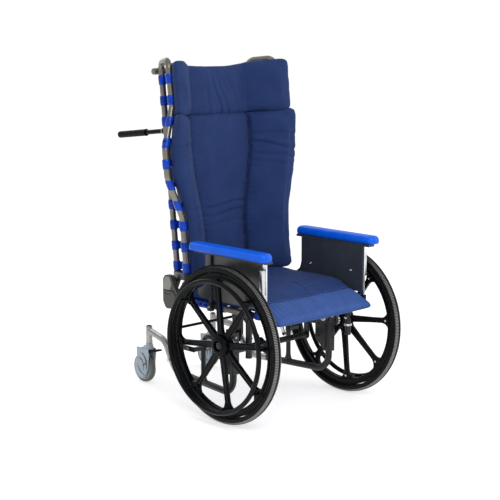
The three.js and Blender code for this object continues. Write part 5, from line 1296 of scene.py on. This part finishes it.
def sew_back(co, nor):
    x, y, z = to_back(co).T
    front = np.clip(-nor[:, 1] * 1.6 - 0.1, 0, 1)
    seam_x, tip_x = smooth_along(SEAM_X, z), smooth_along(TIP_X, z)
    off = np.abs(x) - seam_x
    inner = y < -44
    depth = groove(off, 5) * 8 * front * inner
    depth += groove(off, 13) * 1.6 * front * inner
    t = np.clip(off / (tip_x - seam_x), 0, 1)
    wing = (off > 0) * np.clip(off / 16, 0, 1) * front
    lift = np.zeros(len(co))
    left_folds = (602, 586, 2.6, 12), (566, 526, 4.4, 13), (526, 486, 2.8, 13), (492, 462, 1.8, 12)
    right_folds = (588, 560, 2.4, 12), (330, 318, 1.8, 12), (300, 280, 1.6, 11)
    for folds, wave, fade, there in ((left_folds, 5, 0.35, x > 0), (right_folds, 4, 0.3, x < 0)):
        for start, end, size, width in folds:
            line = start + (end - start) * t + 5 * np.sin(t * wave + start)
            lift += ridge(z - line, width, size) * wing * there * (1 - fade * t)
    across = np.clip(x / np.maximum(seam_x, 1), -1, 1)
    middle = np.clip(-off / 12, 0, 1) * front
    for height, slope, size, width in ((322, 8, 2.8, 11), (287, 9, 3.0, 11), (250, 3, 1.2, 11)):
        line = height + slope * across + 4 * np.sin(across * 3.4)
        lift += ridge(z - line, width, size) * middle * (0.45 + 0.55 * np.clip(across + 0.7, 0, 1))
    tucks = 0.9 * np.sin(z * 0.23 + 2 * np.sin(z * 0.051)) * groove(np.abs(off) - 10, 9) * front * inner
    lift += tucks + 0.7 * np.sin(x * 0.031 + z * 0.017) * np.sin(z * 0.029 - x * 0.011)
    moved = before_straps(co + nor * ((lift - depth) * MM)[:, None])
    # Slot 1 darkens the seam line: painted shade in the seam's groove
    return moved, np.where((np.abs(off) < 1.7) & inner & (front > 0.2), 1, 0)


def sew_head(co, nor):
    x, _, z = to_back(co).T
    front = np.clip(-nor[:, 1] * 1.6 - 0.1, 0, 1)
    lift = np.zeros(len(co))
    for start, lean, size, width in ((-62, 10, 2.6, 13), (-20, 26, 4.4, 11), (12, 34, 3.2, 10),
            (66, 44, 3.4, 14), (112, 20, 1.8, 12)):
        line = start - lean * (z - 790) / 100 + 4 * np.sin(z * 0.03 + start)
        fade = np.clip((905 - z) / 120, 0.25, 1)
        lift += ridge(x - line, width, size) * front * fade
    lift += 0.8 * np.sin(x * 0.035 + z * 0.02) * np.sin(z * 0.033 + 1)
    return before_straps(co + nor * (lift * MM)[:, None]), np.zeros(len(co))


SEAT_TOP = ((-227, 406), (-222, 413), (-210, 419), (-190, 428), (-150, 449), (-121, 458), (-95, 470),
    (-66, 486), (-40, 492), (0, 493), (300, 493), (331, 493))


def seat_form():
    ys = np.concatenate([[-227, -225, -221, -212], np.arange(-200, 322, 12), [322, 327, 331]])
    us = [-1, -0.975, -0.94, -0.89, -0.8, -0.68, -0.52, -0.36, -0.18, 0, 0.18, 0.36, 0.52, 0.68, 0.8, 0.89,
        0.94, 0.975, 1]

    def half(y):
        nose = np.clip((-196 - y) / 31, 0, 1)
        return 262 - 12 * nose ** 3

    def floor(y):
        return float(np.interp(y, [-227, -220, -206, -150], [397, 385, 387, 435]))

    def top(u, y):
        z = float(along(SEAT_TOP, y))
        edge = max(0.0, (abs(u) - 0.8) / 0.2)
        return chair(u * half(y), y, z - min(14, 0.3 * (z - floor(y))) * edge ** 2.4)

    def under(u, y):
        return chair(u * half(y), y, floor(y))
    return closed_form(top, under, us, list(ys))


def sew_seat(co, nor):
    x, y, z = (co - np.array((0, SHIFT, 0))).T / MM
    up = np.clip(nor[:, 2] * 1.5, 0, 1)
    crease = -119 + 5 * (np.abs(x) / 260) ** 2
    behind = np.clip((y - crease) / 10, 0, 1)
    depth = groove(y - crease, 6) * 7 * up
    border = np.minimum(235 - np.abs(x), 322 - y)
    depth += groove(border, 4.5) * 5.5 * up * behind
    rail = groove(border + 12, 9) * 2.6 * up * behind
    short = groove(x - 26, 3.4) * 4 * up * np.clip((y + 100) / 14, 0, 1) * np.clip((6 - y) / 14, 0, 1)
    front = (1 - behind) * (nor[:, 1] < 0.5)
    hem = groove(z - 400 + 0.02 * np.abs(x), 3) * 2.2 * (y < -196)
    folds = np.sin(x * 0.29 + 2.6 * np.sin(x * 0.021) + 0.012 * y) * 0.75
    folds += np.sin(x * 0.57 + 1.7 * np.sin(x * 0.04)) * 0.4
    lift = folds * front * np.clip((z - 408) / 10, 0.25, 1)
    lift += 1.1 * np.sin(x * 0.027 + 1) * np.sin(y * 0.031) * up * behind
    lift += ridge((y + 78) - 14 * np.sin(x * 0.012), 8, 1.8) * up * behind
    moved = co + nor * ((lift + rail - depth - short - hem) * MM)[:, None]
    # Slot 1 puts the lighter front cloth, painted light, on the seat's front face
    slots = np.where(front > 0.5, 1, 0)
    # The crease and border lines take the dark seam colour: painted shade in their grooves
    seam_shade_lines = (np.abs(y - crease) < 3) | ((np.abs(border) < 1.7) & (behind > 0.6))
    slots = np.where(seam_shade_lines & (up > 0.3), 2, slots)
    return moved, slots


back_heights = list(np.concatenate([[32, 35, 40, 48], np.arange(60, 674, 12), [682, 689, 694, 697]]))
head_heights = list(np.concatenate([[685, 688, 693, 701], np.arange(712, 874, 12), [884, 892, 898, 901]]))
cushion("back_cushion", winged(back_heights, back_section, -4, 0), "back", [navy, seam_shade], 0.007, sew_back)
cushion("headrest", winged(head_heights, head_section, 13, 6), "back", [navy, seam_shade], 0.007, sew_head)
cushion("seat_cushion", seat_form(), "seat", [seat_navy, seat_ribs_lit, seam_shade], 0.006, sew_seat,
    voxel=0.005)


# Floor, light and backdrop
PALE, WHITE = (0.8, 0.8, 0.8, 1), (1, 1, 1, 1)


def node(tree, kind, **inputs):
    made = tree.nodes.new(kind)
    for key, value in inputs.items():
        made.inputs[key].default_value = value
    return made


def switch(tree, rays, plain, shown):
    """A shader that is the second one for the rays named, and the first one for all others."""
    path = node(tree, "ShaderNodeLightPath")
    seen = node(tree, "ShaderNodeMath")
    seen.operation = "MAXIMUM"
    for ray, socket in zip(rays, seen.inputs):
        tree.links.new(path.outputs[ray], socket)
    mix = node(tree, "ShaderNodeMixShader")
    for made, socket in zip((seen, plain, shown), mix.inputs):
        tree.links.new(made.outputs[0], socket)
    return mix.outputs[0]


def pale_floor():
    material = bpy.data.materials.new("pale_floor")
    material.use_nodes = True
    tree = material.node_tree
    tree.nodes.clear()
    glowing = node(tree, "ShaderNodeAddShader")
    tree.links.new(node(tree, "ShaderNodeBsdfDiffuse", Color=PALE).outputs[0], glowing.inputs[0])
    tree.links.new(node(tree, "ShaderNodeEmission", Strength=0.55).outputs[0], glowing.inputs[1])
    plain = node(tree, "ShaderNodeBsdfDiffuse", Color=PALE)
    shader = switch(tree, ("Is Camera Ray", "Is Glossy Ray"), plain, glowing)
    tree.links.new(shader, node(tree, "ShaderNodeOutputMaterial").inputs["Surface"])
    return material


def add_world():
    world = bpy.data.worlds.new("studio")
    bpy.context.scene.world = world
    world.use_nodes = True
    tree = world.node_tree
    ground = tree.nodes["Background"]
    ground.inputs["Color"].default_value = WHITE
    ground.inputs["Strength"].default_value = 0.62
    white = node(tree, "ShaderNodeBackground", Color=WHITE, Strength=1.0)
    shader = switch(tree, ("Is Camera Ray", "Is Transmission Ray"), ground, white)
    tree.links.new(shader, tree.nodes["World Output"].inputs["Surface"])


def stage_and_light():
    mesh = bpy.data.meshes.new("floor")
    mesh.from_pydata([(-30, -30, 0), (30, -30, 0), (30, 30, 0), (-30, 30, 0)], [], [(0, 1, 2, 3)])
    mesh.materials.append(pale_floor())
    floor = bpy.data.objects.new("floor", mesh)
    bpy.context.scene.collection.objects.link(floor)
    add_world()
    for name, place, size, power in (("key", (-1.6, -3.2, 3.4), 2.4, 62), ("fill", (3.6, -2.4, 2.2), 3.0, 34),
            ("rear", (0.5, 3.4, 3.0), 3.0, 26)):
        light = bpy.data.lights.new(name, "AREA")
        light.shape, light.size, light.energy = "DISK", size, power
        lamp = bpy.data.objects.new(name, light)
        bpy.context.scene.collection.objects.link(lamp)
        lamp.location = place
        lamp.rotation_mode = "QUATERNION"
        lamp.rotation_quaternion = (Vector(place) - Vector((0, 0, 0.7))).to_track_quat("Z", "Y")


stage_and_light()
bpy.context.scene.view_settings.view_transform = "Standard"
